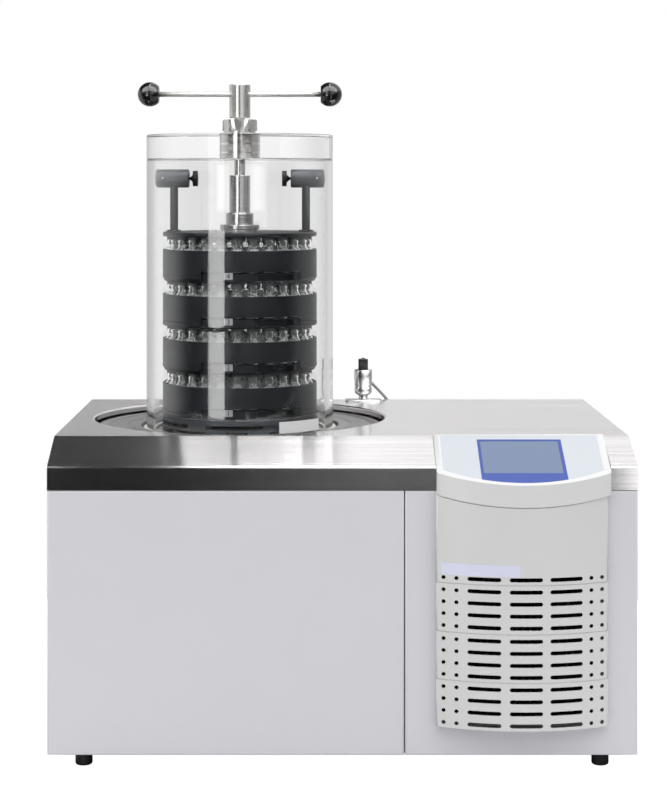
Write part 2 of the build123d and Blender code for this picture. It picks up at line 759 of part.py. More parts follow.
def ball_knobs():
    """Two phenolic balls turned about the bar's line, each with a flat face and a blind bore."""
    r, bore = ball_d / 2, tee_d / 2 + run_fit
    flat_r = math.sqrt(r ** 2 - ball_flat ** 2)
    lines = Polyline((0, -r), (0, 0), (bore, 0), (bore, ball_flat), (flat_r, ball_flat))
    curve = ThreePointArc((flat_r, ball_flat), (r, 0), (0, -r))
    ball = revolve(Plane.XZ * make_face(lines + curve), Axis.Z)
    knobs = []
    for s in (-1, 1):
        place = Pos(axis_x + s * ball_spacing / 2, axis_y, tee_z)
        knobs.append((place * Rot(0, -90 * s, 0) * ball).solid())
    return Compound(knobs)


# ---- console -------------------------------------------------------------------------------------
def bowed_plan(x0, width, y_back, side=0.0, rear=0.0, fore=0.0, corner=0.0):
    """Plan outline with a straight back and a front bowed forward as one arc."""
    xa, xb = x0 + side, x0 + width - side
    y_corner = front - console_off + fore
    y_mid = y_corner - console_bulge
    sides = Polyline((xa, y_corner), (xa, y_back - rear), (xb, y_back - rear), (xb, y_corner))
    bow = ThreePointArc((xb, y_corner), ((xa + xb) / 2, y_mid), (xa, y_corner))
    face = Sketch() + make_face(sides + bow)
    if corner > 0:
        face = fillet([v for v in face.vertices() if v.Y < y_corner + 0.01], corner)
    return face


def sloped_slab(upper, lower):
    """Everything between two planes parallel to the console's face, at depths measured straight down."""
    ya, yb = console_back + 60, front - 80
    za = console_back_z + (ya - console_back) * slope
    zb = console_back_z + (yb - console_back) * slope
    points = [(ya, za - upper), (yb, zb - upper), (yb, zb - lower), (ya, za - lower)]
    face = make_face(Polyline(*points, close=True))
    return extrude(Plane.YZ.offset(console_x - console_w) * face, 3 * console_w)


def raised(face, z0, z1):
    return Pos(0, 0, z0) * extrude(face, z1 - z0)


def console_part(upper, lower, side=0.0, rear=0.0, fore=0.0, corner=0.0):
    plan = bowed_plan(console_x, console_w, console_back, side, rear, fore, corner)
    return raised(plan, grille_z, console_back_z + 20) & sloped_slab(upper, lower)


def display_prism(grow, upper, lower):
    """Straight-sided block under the display's outline, between two depths below the face."""
    prism = block(console_x + display_from - grow, console_x + display_to + grow,
                  console_back - display_bottom - grow, console_back - display_top + grow,
                  grille_z, console_back_z + 20)
    return prism & sloped_slab(upper, lower)


def console_housing():
    """Injection-moulded wedge let into the cover's bevel, hollow, with a recess for the overlay film."""
    w = console_wall
    shell = console_part(0, console_band, corner=console_corner)
    face = max(shell.faces(), key=lambda f: f.center().Z)
    shell = fillet(face.edges(), console_edge)
    hollow = console_part(w, console_band - w, side=w, rear=w, fore=w)
    open_back = console_part(console_band - w - 1, console_band + 1, side=w, rear=w, fore=w)
    open_back = open_back & block(left, right, front + w, back, 0, console_back_z)
    recess = console_part(-5, film_recess, rim_side, rim_back, rim_front, corner=2.0)
    return shell - hollow - open_back - recess - display_prism(display_gap, -1, w + 2)


def overlay_film():
    upper = film_recess - film_t
    film = console_part(upper, film_recess, rim_side + 0.1, rim_back + 0.1, rim_front + 0.1, corner=2.0)
    return film - display_prism(display_gap, -1, 5)


def display():
    return display_prism(0, 0.5, 0.5 + display_t)


# ---- grille cover --------------------------------------------------------------------------------
def grille_rows():
    """Heights of the rows of openings: one over the top groove, then four under each groove."""
    rows = [groove_zs[0] + 7.1]
    for z in groove_zs:
        rows += [z - 8.9 - row_pitch * i for i in range(rows_per_group)]
    return rows


def grille_plan(side=0.0, fore=0.0, corner=0.0, rear=0.0):
    return bowed_plan(grille_x, grille_w, front, side, rear, fore, corner)


def grille_cover():
    """Moulded cover below the console: a bowed shell with slots, round holes and shadow grooves."""
    w, top = grille_wall, console_back_z
    under_console = sloped_slab(console_band + grille_gap, 2 * top)
    shell = raised(grille_plan(corner=console_corner), grille_z, top) & under_console
    lower_slab = sloped_slab(console_band + grille_gap + w, 2 * top)
    hollow = raised(grille_plan(w, w, console_corner - w, rear=-1), grille_z + w, top) & lower_slab
    body = shell - hollow
    ledges = []
    for z in groove_zs:
        wide = raised(grille_plan(w / 2, w / 2, console_corner - w / 2), z - 4, z - 4 + ledge_t)
        ledges.append(wide - raised(grille_plan(ledge_d, ledge_d, rear=-1), z - 5, z))
    grooves = []
    for z in groove_zs:
        around = raised(grille_plan(-5, -5, rear=-5), z - groove / 2, z + groove / 2)
        kept = grille_plan(groove_depth, groove_depth, console_corner - groove_depth, rear=-6)
        grooves.append(around - raised(kept, z - groove, z + groove))
    cuts = []
    wall_from, wall_to = front - console_off - console_bulge - 5, front - 1
    slot = extrude(Plane.XZ * SlotOverall(slot_l, slot_h), wall_to - wall_from)
    for z in grille_rows():
        cuts += [Pos(grille_x + x, wall_to, z) * slot for x in slot_xs]
        cuts += [rod_y(grille_x + x, wall_from, wall_to, z, hole_d) for x in hole_xs]
    return body + ledges - grooves - cuts


# ---- vacuum sensor -------------------------------------------------------------------------------
sensor_cable_z = cover_top + 41.8
cable_boss_l = 19.0
cable_over_edge = (sensor_x + 37.1, back + 6.5, cover_top + 3.2)
cable_heading = (Vector(*cable_over_edge) - Vector(sensor_x, sensor_y, sensor_cable_z)).normalized()


def cable_start():
    return tuple(Vector(sensor_x, sensor_y, sensor_cable_z) + cable_heading * cable_boss_l)


def sensor_body():
    z = cover_top
    r_neck, r, rc = sensor_neck_d / 2, sensor_body_d / 2, sensor_collar_d / 2
    foot = block(sensor_x - sensor_base_w / 2, sensor_x + sensor_base_w / 2, sensor_y - sensor_base_d / 2,
                 sensor_y + sensor_base_d / 2, z, z + sensor_base_t)
    foot = fillet(foot.edges().filter_by(Axis.Z), 6)
    points = [(0, z + 1), (r_neck, z + 1), (r_neck, z + 9), (r - 2, z + 12), (r, z + 14), (r, z + 22),
              (r - 0.8, z + 22.6), (r - 0.8, z + 24), (r, z + 24.6), (r, z + 33), (rc, z + 34),
              (rc, z + 49), (rc - 1, z + 50), (0, z + 50)]
    boss = Plane(origin=(sensor_x, sensor_y, sensor_cable_z), z_dir=cable_heading) * Cylinder(
        4, cable_boss_l, align=(Align.CENTER, Align.CENTER, Align.MIN))
    return foot + turned(points, (sensor_x, sensor_y)) + boss


def sensor_cap():
    w, z = sensor_cap_w / 2, cover_top + 50
    cap = block(sensor_x - w, sensor_x + w, sensor_y - w, sensor_y + w, z, z + sensor_cap_h)
    cap = fillet(cap.edges().filter_by(Axis.Z), 2.0)
    cap = chamfer(cap.edges().group_by(Axis.Z)[-1], 0.8)
    screw = rod_z(sensor_x, sensor_y, z + sensor_cap_h - 0.5, z + sensor_cap_h + 1.6, 5.0)
    return cap + screw


def sensor_plug():
    """Right-angle plug on the rear panel; the cable comes in from above."""
    y = back + 22
    ring = rod_y(plug_x, back, back + 14, plug_top - 13, 18)
    body = block(plug_x - 9, plug_x + 9, back + 12, back + 32, plug_top - 22, plug_top - 4)
    body = fillet(body.edges().filter_by(Axis.X), 3)
    return ring + body + rod_z(plug_x, y, plug_top - 5, plug_top, 8)


# The cable leaves the sensor's boss, runs straight over the back edge and drops into the plug.
cable_points = [cable_start(), cable_over_edge, (plug_x - 9, back + 20, cover_top - 29.3),
                (plug_x, back + 22, plug_top + 24), (plug_x, back + 22, plug_top)]


def corner_radii(points):
    """The largest arc that each corner of a route allows, from its runs and the turn."""
    radii = []
    for a, b, c in zip(points, points[1:], points[2:]):
        before, after = Vector(*b) - Vector(*a), Vector(*c) - Vector(*b)
        half = math.radians(before.get_angle(after) / 2)
        radii.append(0.45 * min(before.length, after.length) / math.tan(half))
    return radii


def sensor_cable():
    radii = corner_radii(cable_points)
    print("sensor cable radii:", [round(r, 1) for r in radii])
    path = FilletPolyline(*cable_points, radius=radii)
    start = Plane(origin=path @ 0, z_dir=path % 0)
    tube = sweep(start * Circle(cable_d / 2), path=path)
    print("sensor cable length:", round(path.length, 1), "volume ratio:",
          round(tube.volume / (math.pi * cable_d ** 2 / 4 * path.length), 4))
    return tube


# ---- machinery -----------------------------------------------------------------------------------
machine_x = grille_x + grille_w / 2
exchanger_y = front + exchanger_from_front
shroud_y = exchanger_y + exchanger_d + fan_gap
fan_z = tray_floor + exchanger_h / 2


def heat_exchanger():
    """Finned air-cooled condenser: end plates, fins and the tube passes through them."""
    x0, x1 = machine_x - exchanger_w / 2, machine_x + exchanger_w / 2
    y0, y1 = exchanger_y, exchanger_y + exchanger_d
    z0, z1 = tray_floor, tray_floor + exchanger_h
    plates = [block(x0, x0 + 2, y0, y1, z0, z1), block(x1 - 2, x1, y0, y1, z0, z1)]
    count = int((exchanger_w - 8) / fin_pitch)
    fins = []
    for i in range(count):
        x = x0 + 6 + i * fin_pitch
        fins.append(block(x, x + fin_t, y0 + 2, y1 - 2, z0 + 10, z1))
    passes = []
    for i in range(pass_rows):
        z = z0 + 28 + i * (exchanger_h - 50) / (pass_rows - 1)
        passes.append(rod_x(x0 - 6, x1 + 6, (y0 + y1) / 2, z, pipe_d))
    return passes[0] + passes[1:] + plates + fins


def fan_housing():
    """Shroud plate with the fan ring, and the motor on four arms behind it."""
    x0, x1 = machine_x - exchanger_w / 2, machine_x + exchanger_w / 2
    y0, y1 = shroud_y, shroud_y + shroud_d
    outer = block(x0, x1, y0, y1, tray_floor, tray_floor + exchanger_h)
    w = shroud_wall
    inner = block(x0 + w, x1 - w, y0 - 1, y1 - w, tray_floor + w, tray_floor + exchanger_h - w)
    ring_d = fan_d + 2 * fan_tip_gap
    opening = rod_y(machine_x, y0 - 5, y1 + 30, fan_z, ring_d)
    ring = rod_y(machine_x, y1 - w, y1 + 14, fan_z, ring_d + 2 * w)
    motor_y = y1 + 18
    motor = rod_y(machine_x, motor_y, motor_y + motor_l, fan_z, motor_d)
    motor = chamfer(motor.edges().filter_by(GeomType.CIRCLE), 4)
    shaft = rod_y(machine_x, y0 + 6, motor_y + 2, fan_z, motor_shaft_d)
    arms = []
    for i in range(4):
        arm = block(motor_d / 2 - 4, ring_d / 2 + w, -4, 4, -5, 0)
        arms.append(Pos(machine_x, motor_y + 1, fan_z) * Rot(90, 0, 0) * Rot(0, 0, 45 + 90 * i) * arm)
    legs = []
    for i in range(4):
        leg = block(ring_d / 2 + 0.5, ring_d / 2 + w, -4, 4, -6, 8)
        legs.append(Pos(machine_x, motor_y + 1, fan_z) * Rot(90, 0, 0) * Rot(0, 0, 45 + 90 * i) * leg)
    return ((outer - inner) + ring - opening) + motor + shaft + arms + legs


def fan_rotor():
    """Hub and pitched blades on the motor's shaft."""
    y0, y1 = shroud_y + 8, shroud_y + shroud_d + 4
    hub = rod_y(machine_x, y0, y1, fan_z, fan_hub_d)
    blades = []
    for i in range(fan_blades):
        blade = block(fan_hub_d / 2 - 3, fan_d / 2, -24, 24, -1, 1)
        pitched = Rot(28, 0, 0) * blade
        placed = Rot(90, 0, 0) * Rot(0, 0, 360 / fan_blades * i) * pitched
        blades.append(Pos(machine_x, (y0 + y1) / 2, fan_z) * placed)
    keep = rod_y(machine_x, y0 - 2, y1 + 2, fan_z, fan_d)
    bore = rod_y(machine_x, y0 - 5, y1 + 5, fan_z, motor_shaft_d + 2 * run_fit)
    return ((hub + blades) & keep) - bore


def compressor_ports():
    """Where pipes end in the domes: suction, then the two ends of the pipe between the stages."""
    xa, xb = compressor_xs
    top = tray_floor + compressor_h
    return [(xa, axis_y, top - 12), (xa + 25, compressor_y, top - 14), (xb - 25, compressor_y, top - 14)]


def compressors():
    """Two hermetic compressors: welded steel domes on sprung feet."""
    r = compressor_d / 2
    z0, z1 = tray_floor + compressor_feet, tray_floor + compressor_h
    units = []
    for x in compressor_xs:
        centre = (x, compressor_y)
        seam = (z0 + z1) / 2 + 20
        points = [(0, z0), (r - 6, z0), (r - 6, seam), (r, seam), (r, seam + 8), (r - 6, seam + 8),
                  (r - 6, z1), (0, z1)]
        dome = turned(points, centre, [0, 30, 0, 0, 0, 0, 55, 0])
        plate = block(x - 70, x + 70, compressor_y - 55, compressor_y + 55, z0 - 1, z0 + 3)
        pads = [rod_z(x + sx * 60, compressor_y + sy * 45, tray_floor, z0, 22)
                for sx in (-1, 1) for sy in (-1, 1)]
        units.append(dome + plate + pads)
    d = pipe_d + 2 * panel_gap
    sockets = [rod_z(px, py, z - panel_gap, z1 + 5, d) for px, py, z in compressor_ports()]
    return Compound([(unit - sockets).solid() for unit in units])


def pipe_run(points, d, bend):
    path = FilletPolyline(*points, radius=bend)
    return sweep(Plane(origin=path @ 0, z_dir=path % 0) * Circle(d / 2), path=path)


def refrigerant_pipes():
    """Suction and liquid lines between the coil's ends, the compressors and the heat exchanger."""
    low, high = coil_ends()
    x0, x_drop = coil_tail_x, coil_tail_x + liquid_out
    inlet, first, second = compressor_ports()
    over = tray_floor + compressor_h + 25
    suction = pipe_run([(x0, axis_y, high), (inlet[0], axis_y, high), inlet], pipe_d, 20)
    xs = machine_x - exchanger_w / 2 - 6
    first_pass = tray_floor + 28
    exchanger_mid = exchanger_y + exchanger_d / 2
    liquid = pipe_run([(x0, axis_y, low), (x_drop, axis_y, low), (x_drop, exchanger_mid, low),
                       (x_drop, exchanger_mid, first_pass), (xs, exchanger_mid, first_pass)], pipe_d, 12)
    bridge = pipe_run([first, (first[0], first[1], over), (second[0], second[1], over), second], pipe_d, 14)
    dryer = rod_y(x_drop, axis_y - dryer_ahead - dryer_l, axis_y - dryer_ahead, low, dryer_d)
    return Compound([suction.solid(), (liquid + dryer).solid(), bridge.solid()])


def control_box():
    y1 = back - sheet - panel_gap
    outer = block(box_x0, box_x1, y1 - box_depth, y1, box_z0, box_z1)
    inner = block(box_x0 + 1.5, box_x1 - 1.5, y1 - box_depth + 1.5, y1 - 1.5, box_z0 + 1.5, box_z1 - 1.5)
    line_y = y1 - box_depth + 12
    lid_line = block(box_x0 - 1, box_x1 + 1, line_y, line_y + 1, box_z0 - 1, box_z1 + 1)
    kept = block(box_x0 + 0.6, box_x1 - 0.6, y1 - box_depth, y1, box_z0 + 0.6, box_z1 - 0.6)
    return outer - inner - (lid_line - kept)


# ---- drain and mains -----------------------------------------------------------------------------
valve_y = back + valve_from_panel
stem_y = valve_y + valve_l / 2


def drain_valve():
    """Drain pipe from the pot's stub to the ball valve and its hose nozzle behind the rear panel."""
    route = [(axis_x, axis_y, stub_foot), (axis_x, axis_y, drain_z), (axis_x, valve_y + 1, drain_z)]
    pipe = pipe_run(route, drain_d, drain_bend)
    bore = pipe_run([route[0], route[1], (axis_x, valve_y + 2, drain_z)], drain_bore, drain_bend)
    h = valve_w / 2
    body = block(axis_x - h, axis_x + h, valve_y, valve_y + valve_l, drain_z - h, drain_z + h)
    body = chamfer(body.edges().filter_by(Axis.Y), 4)
    nozzle = rod_y(axis_x, valve_y + valve_l - 1, valve_y + valve_l + nozzle_l, drain_z, nozzle_d)
    through = rod_y(axis_x, valve_y - 1, valve_y + valve_l + nozzle_l + 1, drain_z, drain_bore - 3)
    stem_hole = rod_z(axis_x, stem_y, drain_z + h - 3, drain_z + h + 1, lever_stem_d + 2 * run_fit)
    return (pipe - bore) + (body + nozzle - through - stem_hole)


def drain_lever():
    z = drain_z + valve_w / 2
    stem = rod_z(axis_x, stem_y, z - 2.5, z + lever_stem_h, lever_stem_d)
    bar = block(axis_x - 7, axis_x + lever_l, stem_y - lever_w / 2, stem_y + lever_w / 2,
                z + lever_stem_h - 1, z + lever_stem_h + lever_t - 1)
    return stem + fillet(bar.edges().filter_by(Axis.Z), 5)


def mains_inlet():
    """Appliance inlet and switch frame in one moulding, snapped into the rear panel."""
    bezel = block(inlet_x - inlet_w / 2, inlet_x + inlet_w / 2, back, back + bezel_t, inlet_z - inlet_h / 2,
                  inlet_z + inlet_h / 2)
    bezel = fillet(bezel.edges().filter_by(Axis.Y), 3)
    body = block(inlet_x - inlet_w / 2 + 3.3, inlet_x + inlet_w / 2 - 3.3, back - inlet_depth, back + 1,
                 inlet_z - inlet_h / 2 + 3.3, inlet_z + inlet_h / 2 - 3.3)
    sx = inlet_x + socket_dx
    socket = block(sx - socket_w / 2, sx + socket_w / 2, back + bezel_t - socket_depth, back + bezel_t + 1,
                   inlet_z - socket_h / 2, inlet_z + socket_h / 2)
    pin_y = back + bezel_t - socket_depth
    pins = [block(sx + dx - 1, sx + dx + 1, pin_y - 1, pin_y + 9, inlet_z - 3, inlet_z + 3)
            for dx in (-11, 0, 11)]
    rx = inlet_x + rocker_dx
    half_w, half_h = rocker_w / 2 + rocker_fit, rocker_r + rocker_fit
    window = block(rx - half_w, rx + half_w, back - inlet_depth + 6, back + bezel_t + 1,
                   inlet_z - half_h, inlet_z + half_h)
    trunnion_y = back - rocker_r + 4
    trunnions = rod_x(rx - half_w - 2, rx + half_w + 2, trunnion_y, inlet_z, 4 + 2 * run_fit)
    return bezel + body - socket - window - trunnions + pins


def mains_rocker():
    rx, y = inlet_x + rocker_dx, back - rocker_r + 4
    drum = rod_x(rx - rocker_w / 2, rx + rocker_w / 2, y, inlet_z, 2 * rocker_r)
    tip = y + rocker_r
    dish = [(tip + 2, inlet_z - rocker_r - 2), (tip - 1.2, inlet_z - rocker_r - 2), (tip - 3.6, inlet_z),
            (tip - 0.6, inlet_z + rocker_r), (tip + 2, inlet_z + rocker_r)]
    cut = extrude(Plane.YZ.offset(rx - rocker_w) * make_face(Polyline(*dish, close=True)), 2 * rocker_w)
    axle = rod_x(rx - rocker_w / 2 - 1.8, rx + rocker_w / 2 + 1.8, y, inlet_z, 4)
    return drum - cut + axle


# ---- build ---------------------------------------------------------------------------------------
for make in (base_tray, feet, front_panel_left, front_panel_right, side_panels, rear_panel, top_cover,
             ice_pot, vacuum_port, evaporator_coil, pot_insulation, well_plate, chamber_seal, chamber_tube,
             lid_seal, chamber_lid, lid_bush, rack_base, guide_rods, pressure_plate, press_sleeve, spindle,
             tee_bar, ball_knobs, console_housing, overlay_film, display, grille_cover, sensor_body,
             sensor_cap, sensor_plug, sensor_cable, heat_exchanger, fan_housing, fan_rotor, compressors,
             refrigerant_pipes, control_box, drain_valve, drain_lever, mains_inlet, mains_rocker):
    save(make.__name__, make())
for n in range(1, levels + 1):
    save("shelf_%d" % n, shelf(n))
    save("tray_ring_%d" % n, tray_ring(n))
    save("vials_%d" % n, vials(n))
    save("stoppers_%d" % n, stoppers(n))
save("clamp_screw_left", clamp_screw(-1))
save("clamp_screw_right", clamp_screw(1))
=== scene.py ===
import json
import math

import bmesh
import bpy
import numpy as np
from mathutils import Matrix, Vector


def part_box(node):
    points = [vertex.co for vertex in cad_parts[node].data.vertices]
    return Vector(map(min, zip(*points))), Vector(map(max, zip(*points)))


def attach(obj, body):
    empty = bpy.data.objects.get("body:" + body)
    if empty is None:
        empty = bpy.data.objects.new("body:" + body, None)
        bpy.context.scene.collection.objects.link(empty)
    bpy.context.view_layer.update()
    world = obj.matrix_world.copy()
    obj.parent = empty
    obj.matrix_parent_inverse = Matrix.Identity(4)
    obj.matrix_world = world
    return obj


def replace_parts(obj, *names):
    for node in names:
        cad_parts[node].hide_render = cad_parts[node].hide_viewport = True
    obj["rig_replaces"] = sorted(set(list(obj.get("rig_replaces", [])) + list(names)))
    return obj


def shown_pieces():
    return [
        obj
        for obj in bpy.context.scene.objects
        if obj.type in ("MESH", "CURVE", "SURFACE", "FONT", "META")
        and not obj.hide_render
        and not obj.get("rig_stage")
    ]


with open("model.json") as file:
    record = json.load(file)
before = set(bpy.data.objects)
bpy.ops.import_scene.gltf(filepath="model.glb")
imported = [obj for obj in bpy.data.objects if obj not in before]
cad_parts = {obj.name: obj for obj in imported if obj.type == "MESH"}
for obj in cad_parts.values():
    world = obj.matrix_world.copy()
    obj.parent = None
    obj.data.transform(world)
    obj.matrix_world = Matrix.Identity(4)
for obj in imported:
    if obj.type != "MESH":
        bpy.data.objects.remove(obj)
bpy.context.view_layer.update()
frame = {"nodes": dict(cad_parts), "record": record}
record = frame["record"]


# ---- studio --------------------------------------------------------------------------------------
# The camera looks level, at the height of the clamp screws, at a white sweep. Softboxes stand in
# front on the left, a fill lamp on the right, and behind the camera lies a dark room with two long
# windows. The sky has one brightness for mirrors, one for matt surfaces and one to be seen directly.
camera = bpy.data.objects.new("camera", bpy.data.cameras.new("camera"))
bpy.context.scene.collection.objects.link(camera)
camera.location = (-0.0375, -2.890, 0.7755)
camera.rotation_euler = (math.pi / 2, 0, 0)
camera.data.sensor_width = 36.0
camera.data.lens = 89.37
camera.data.shift_x, camera.data.shift_y = 0.0244, -0.2692
bpy.context.scene.camera = camera
bpy.context.scene.view_settings.view_transform = "Standard"
bpy.context.scene.cycles.max_bounces = 28
bpy.context.scene.cycles.transmission_bounces = 28
bpy.context.scene.cycles.glossy_bounces = 8
bpy.context.scene.cycles.transparent_max_bounces = 32
bpy.context.scene.cycles.caustics_reflective = False
bpy.context.scene.cycles.caustics_refractive = False


class Shader:
    """A node tree with short ways to add nodes and to join values or sockets to their inputs."""

    def __init__(self, tree):
        self.tree = tree
        tree.nodes.clear()

    def add(self, kind, **settings):
        node = self.tree.nodes.new(kind)
        for key, value in settings.items():
            setattr(node, key, value)
        return node

    def feed(self, socket, value):
        if isinstance(value, bpy.types.NodeSocket):
            self.tree.links.new(value, socket)
        else:
            socket.default_value = value

    def math(self, operation, a, b=0.0):
        node = self.add("ShaderNodeMath", operation=operation)
        for socket, value in zip(node.inputs, (a, b)):
            self.feed(socket, value)
        return node.outputs[0]

    def total(self, *parts):
        """Sum of two or more values, added in their order."""
        result = parts[0]
        for part in parts[1:]:
            result = self.math("ADD", result, part)
        return result

    def product(self, *parts):
        """Product of two or more values, multiplied in their order."""
        result = parts[0]
        for part in parts[1:]:
            result = self.math("MULTIPLY", result, part)
        return result

    def step(self, value, low, high, to_low=0.0, to_high=1.0):
        """Smooth step of a value from low to high, mapped to two levels."""
        node = self.add("ShaderNodeMapRange", interpolation_type="SMOOTHSTEP")
        for socket, number in zip(node.inputs, (value, low, high, to_low, to_high)):
            self.feed(socket, number)
        return node.outputs[0]

    def blend(self, amount, a, b):
        """Mixes two colours or grey levels by an amount from 0 to 1."""
        node = self.add("ShaderNodeMix", data_type="RGBA")
        self.feed(node.inputs[0], amount)
        for socket, value in ((node.inputs[6], a), (node.inputs[7], b)):
            self.feed(socket, (value, value, value, 1) if isinstance(value, float) else value)
        return node.outputs[2]


def grey(level):
    """A colour without any tint, from 0 for black to 1 for white."""
    return (level, level, level, 1.0)


world = bpy.data.worlds.new("studio")
world.use_nodes = True
world.cycles.sampling_method = "NONE"
bpy.context.scene.world = world
sky = Shader(world.node_tree)
direction = sky.add("ShaderNodeSeparateXYZ")
sky.feed(direction.inputs[0], sky.add("ShaderNodeTexCoord").outputs["Generated"])
dx, dy, dz = direction.outputs  # to the right, away from the camera and up
rise = sky.math("ARCTAN2", dz, dy)  # angle from straight ahead, up and over to behind the camera

# Behind the camera: a dark room, a light panel to each side and a low glare strip on the right.
dark_room = sky.step(dx, -0.066, 0.0, 0.002, 0.025)
right_panel = sky.total(sky.step(dx, -0.05, 0.0, 0.0, 0.6), sky.step(dx, 0.14, 0.22, 0.0, 0.7))
right_panel = sky.product(right_panel, sky.step(dx, 0.90, 0.50))
left_panel = sky.product(sky.step(dx, -0.15, -0.20, 0.0, 0.5), sky.step(dx, -0.95, -0.60))
panel_height = sky.product(sky.step(dz, 0.0, 0.08), sky.step(dz, 0.60, 0.40))
panels = sky.product(sky.total(right_panel, left_panel), panel_height)
glare_width = sky.product(sky.step(dx, 0.150, 0.158), sky.step(dx, 0.26, 0.22))
glare = sky.product(glare_width, sky.step(dz, -0.112, -0.122, 0.0, 2.4))
in_front = sky.total(dark_room, sky.total(panels, glare))

# Behind the object: a nearly even wall low down, and above it one that is dark on the left and
# bright on the right.
low_wall = sky.product(sky.step(dx, -0.10, -0.02, 0.56, 0.74), sky.step(dx, 0.45, 0.90, 1.0, 0.55))
low_wall = sky.total(low_wall, sky.step(dx, -0.45, -0.90, 0.0, 0.30))
mid_wall = sky.total(sky.step(dx, -0.070, -0.052, 0.03, 0.20), sky.step(dx, 0.008, 0.018, 0.0, 0.88))

# Overhead: a ceiling that brightens in three soft steps towards the middle and is even on the right,
# and in front of it a top light in two halves.
first_step = sky.step(dx, -0.070, -0.044, 0.03, 3.0)
second_step = sky.step(dx, -0.048, -0.030, 0.0, 4.0)
third_step = sky.step(dx, -0.010, -0.003, 0.0, 5.0)
ceiling = sky.total(first_step, second_step, third_step)
ceiling = sky.blend(sky.step(dx, 0.008, 0.018), ceiling, 1.0)
top_right = sky.product(sky.step(dx, -0.064, -0.05), sky.step(dx, 0.92, 0.86))
top_left = sky.product(sky.step(dx, -0.134, -0.15), sky.step(dx, -0.92, -0.86))
top_light = sky.product(sky.total(top_right, top_left), sky.step(rise, 1.60, 1.70, 0.0, 4.5))
top_light = sky.product(top_light, sky.step(rise, 2.60, 2.54))

low_sky = sky.blend(sky.step(dz, 0.25, 0.42), low_wall, mid_wall)
low_sky = sky.blend(sky.step(dy, -0.45, 0.05), in_front, low_sky)
high_sky = sky.blend(sky.step(rise, 1.12, 1.20), mid_wall, ceiling)
high_sky = sky.blend(sky.step(rise, 1.90, 2.10), high_sky, in_front)
mirrored = sky.total(sky.blend(sky.step(dz, 0.35, 0.60), low_sky, high_sky), top_light)

# Diffuse rays meet an even sky that is brighter overhead, rays seen directly meet the white sweep,
# and a ray that has crossed three walls of glass on its way meets an even light.
upward = sky.math("MAXIMUM", dz, 0.0)
overhead = sky.total(0.582, sky.product(sky.product(upward, upward), 1.75))
sweep_light = sky.product(sky.step(dx, -0.75, -0.28, 0.74, 1.0), sky.step(dx, 0.35, 0.95, 1.0, 0.85))
path = sky.add("ShaderNodeLightPath")
glossy = sky.math("MINIMUM", path.outputs["Glossy Depth"], 1.0)
diffuse = sky.math("MINIMUM", path.outputs["Diffuse Depth"], 1.0)
deep_in_glass = sky.step(path.outputs["Transmission Depth"], 5.4, 5.6)
mirrored = sky.blend(deep_in_glass, mirrored, 1.3)
seen_in = sky.blend(diffuse, sky.blend(glossy, sweep_light, mirrored), overhead)
backdrop = sky.add("ShaderNodeBackground")
sky.feed(backdrop.inputs["Color"], seen_in)
sky.feed(sky.add("ShaderNodeOutputWorld").inputs["Surface"], backdrop.outputs[0])


def softbox(name, place, aim, width, height, radiance, mirror=True):
    """A rectangular lamp turned to face a point. It shows in mirrors and glass, or else it only
    lights matt surfaces."""
    lamp = bpy.data.lights.new(name, "AREA")
    lamp.shape = "RECTANGLE"
    lamp.size, lamp.size_y = width, height
    lamp.energy = radiance * math.pi * width * height
    stand = bpy.data.objects.new(name, lamp)
    bpy.context.scene.collection.objects.link(stand)
    stand.location = place
    stand.visible_diffuse, stand.visible_glossy = not mirror, mirror
    stand.visible_transmission = mirror
    toward = np.array(aim) - np.array(place)
    tilt = math.atan2(toward[2], math.hypot(toward[0], toward[1]))
    heading = math.atan2(toward[1], toward[0])
    stand.rotation_euler = (math.pi / 2 + tilt, 0, heading - math.pi / 2)


left_stand, left_width = (-1.300, -2.295), 0.90
window_y, window_z, window_h = -5.90, 0.76, 0.212
chamber_axis = (-0.1466, 0.035)
for name, low, high, radiance in (("foot_softbox", 0.150, 0.384, 5.2),
                                  ("lower_softbox", 0.396, 0.655, 5.2),
                                  ("upper_softbox", 0.655, 2.300, 1.6)):
    middle = (low + high) / 2
    softbox(name, (*left_stand, middle), (*chamber_axis, middle), left_width, high - low, radiance)
for name, low, high in (("left_window", -3.10, -1.30), ("right_window", 0.10, 3.60)):
    middle = (low + high) / 2
    softbox(name, (middle, window_y, window_z), (middle, 0.0, window_z), high - low, window_h, 1.1)
softbox("key_light", (-1.100, -2.600, 2.100), (0.0, 0.0, 0.40), 1.6, 1.6, 0.40, mirror=False)
softbox("right_fill", (2.200, -1.900, 1.500), (0.0, 0.0, 0.35), 1.2, 1.6, 0.95, mirror=False)


def face_object(name, points, faces, smooth=True):
    """A mesh object in the row frame from points in metres, smooth up to folds of 35 degrees."""
    mesh = bpy.data.meshes.new(name)
    mesh.from_pydata(np.asarray(points, float).reshape(-1, 3).tolist(), [], [list(f) for f in faces])
    tidy = bmesh.new()
    tidy.from_mesh(mesh)
    bmesh.ops.remove_doubles(tidy, verts=tidy.verts, dist=1e-6)
    bmesh.ops.recalc_face_normals(tidy, faces=tidy.faces)
    tidy.to_mesh(mesh)
    tidy.free()
    if smooth:
        mesh.shade_smooth()
        mesh.set_sharp_from_angle(angle=math.radians(35))
    piece = bpy.data.objects.new(name, mesh)
    bpy.context.scene.collection.objects.link(piece)
    return piece


floor_r, floor_y, floor_z, floor_sides = 0.95, 0.05, -0.0002, 96
ring = np.linspace(0, 2 * math.pi, floor_sides, endpoint=False)
disc = np.stack([floor_r * np.cos(ring), floor_r * np.sin(ring) + floor_y, np.full_like(ring, floor_z)], 1)
floor = face_object("floor", disc, [range(floor_sides)], smooth=False)

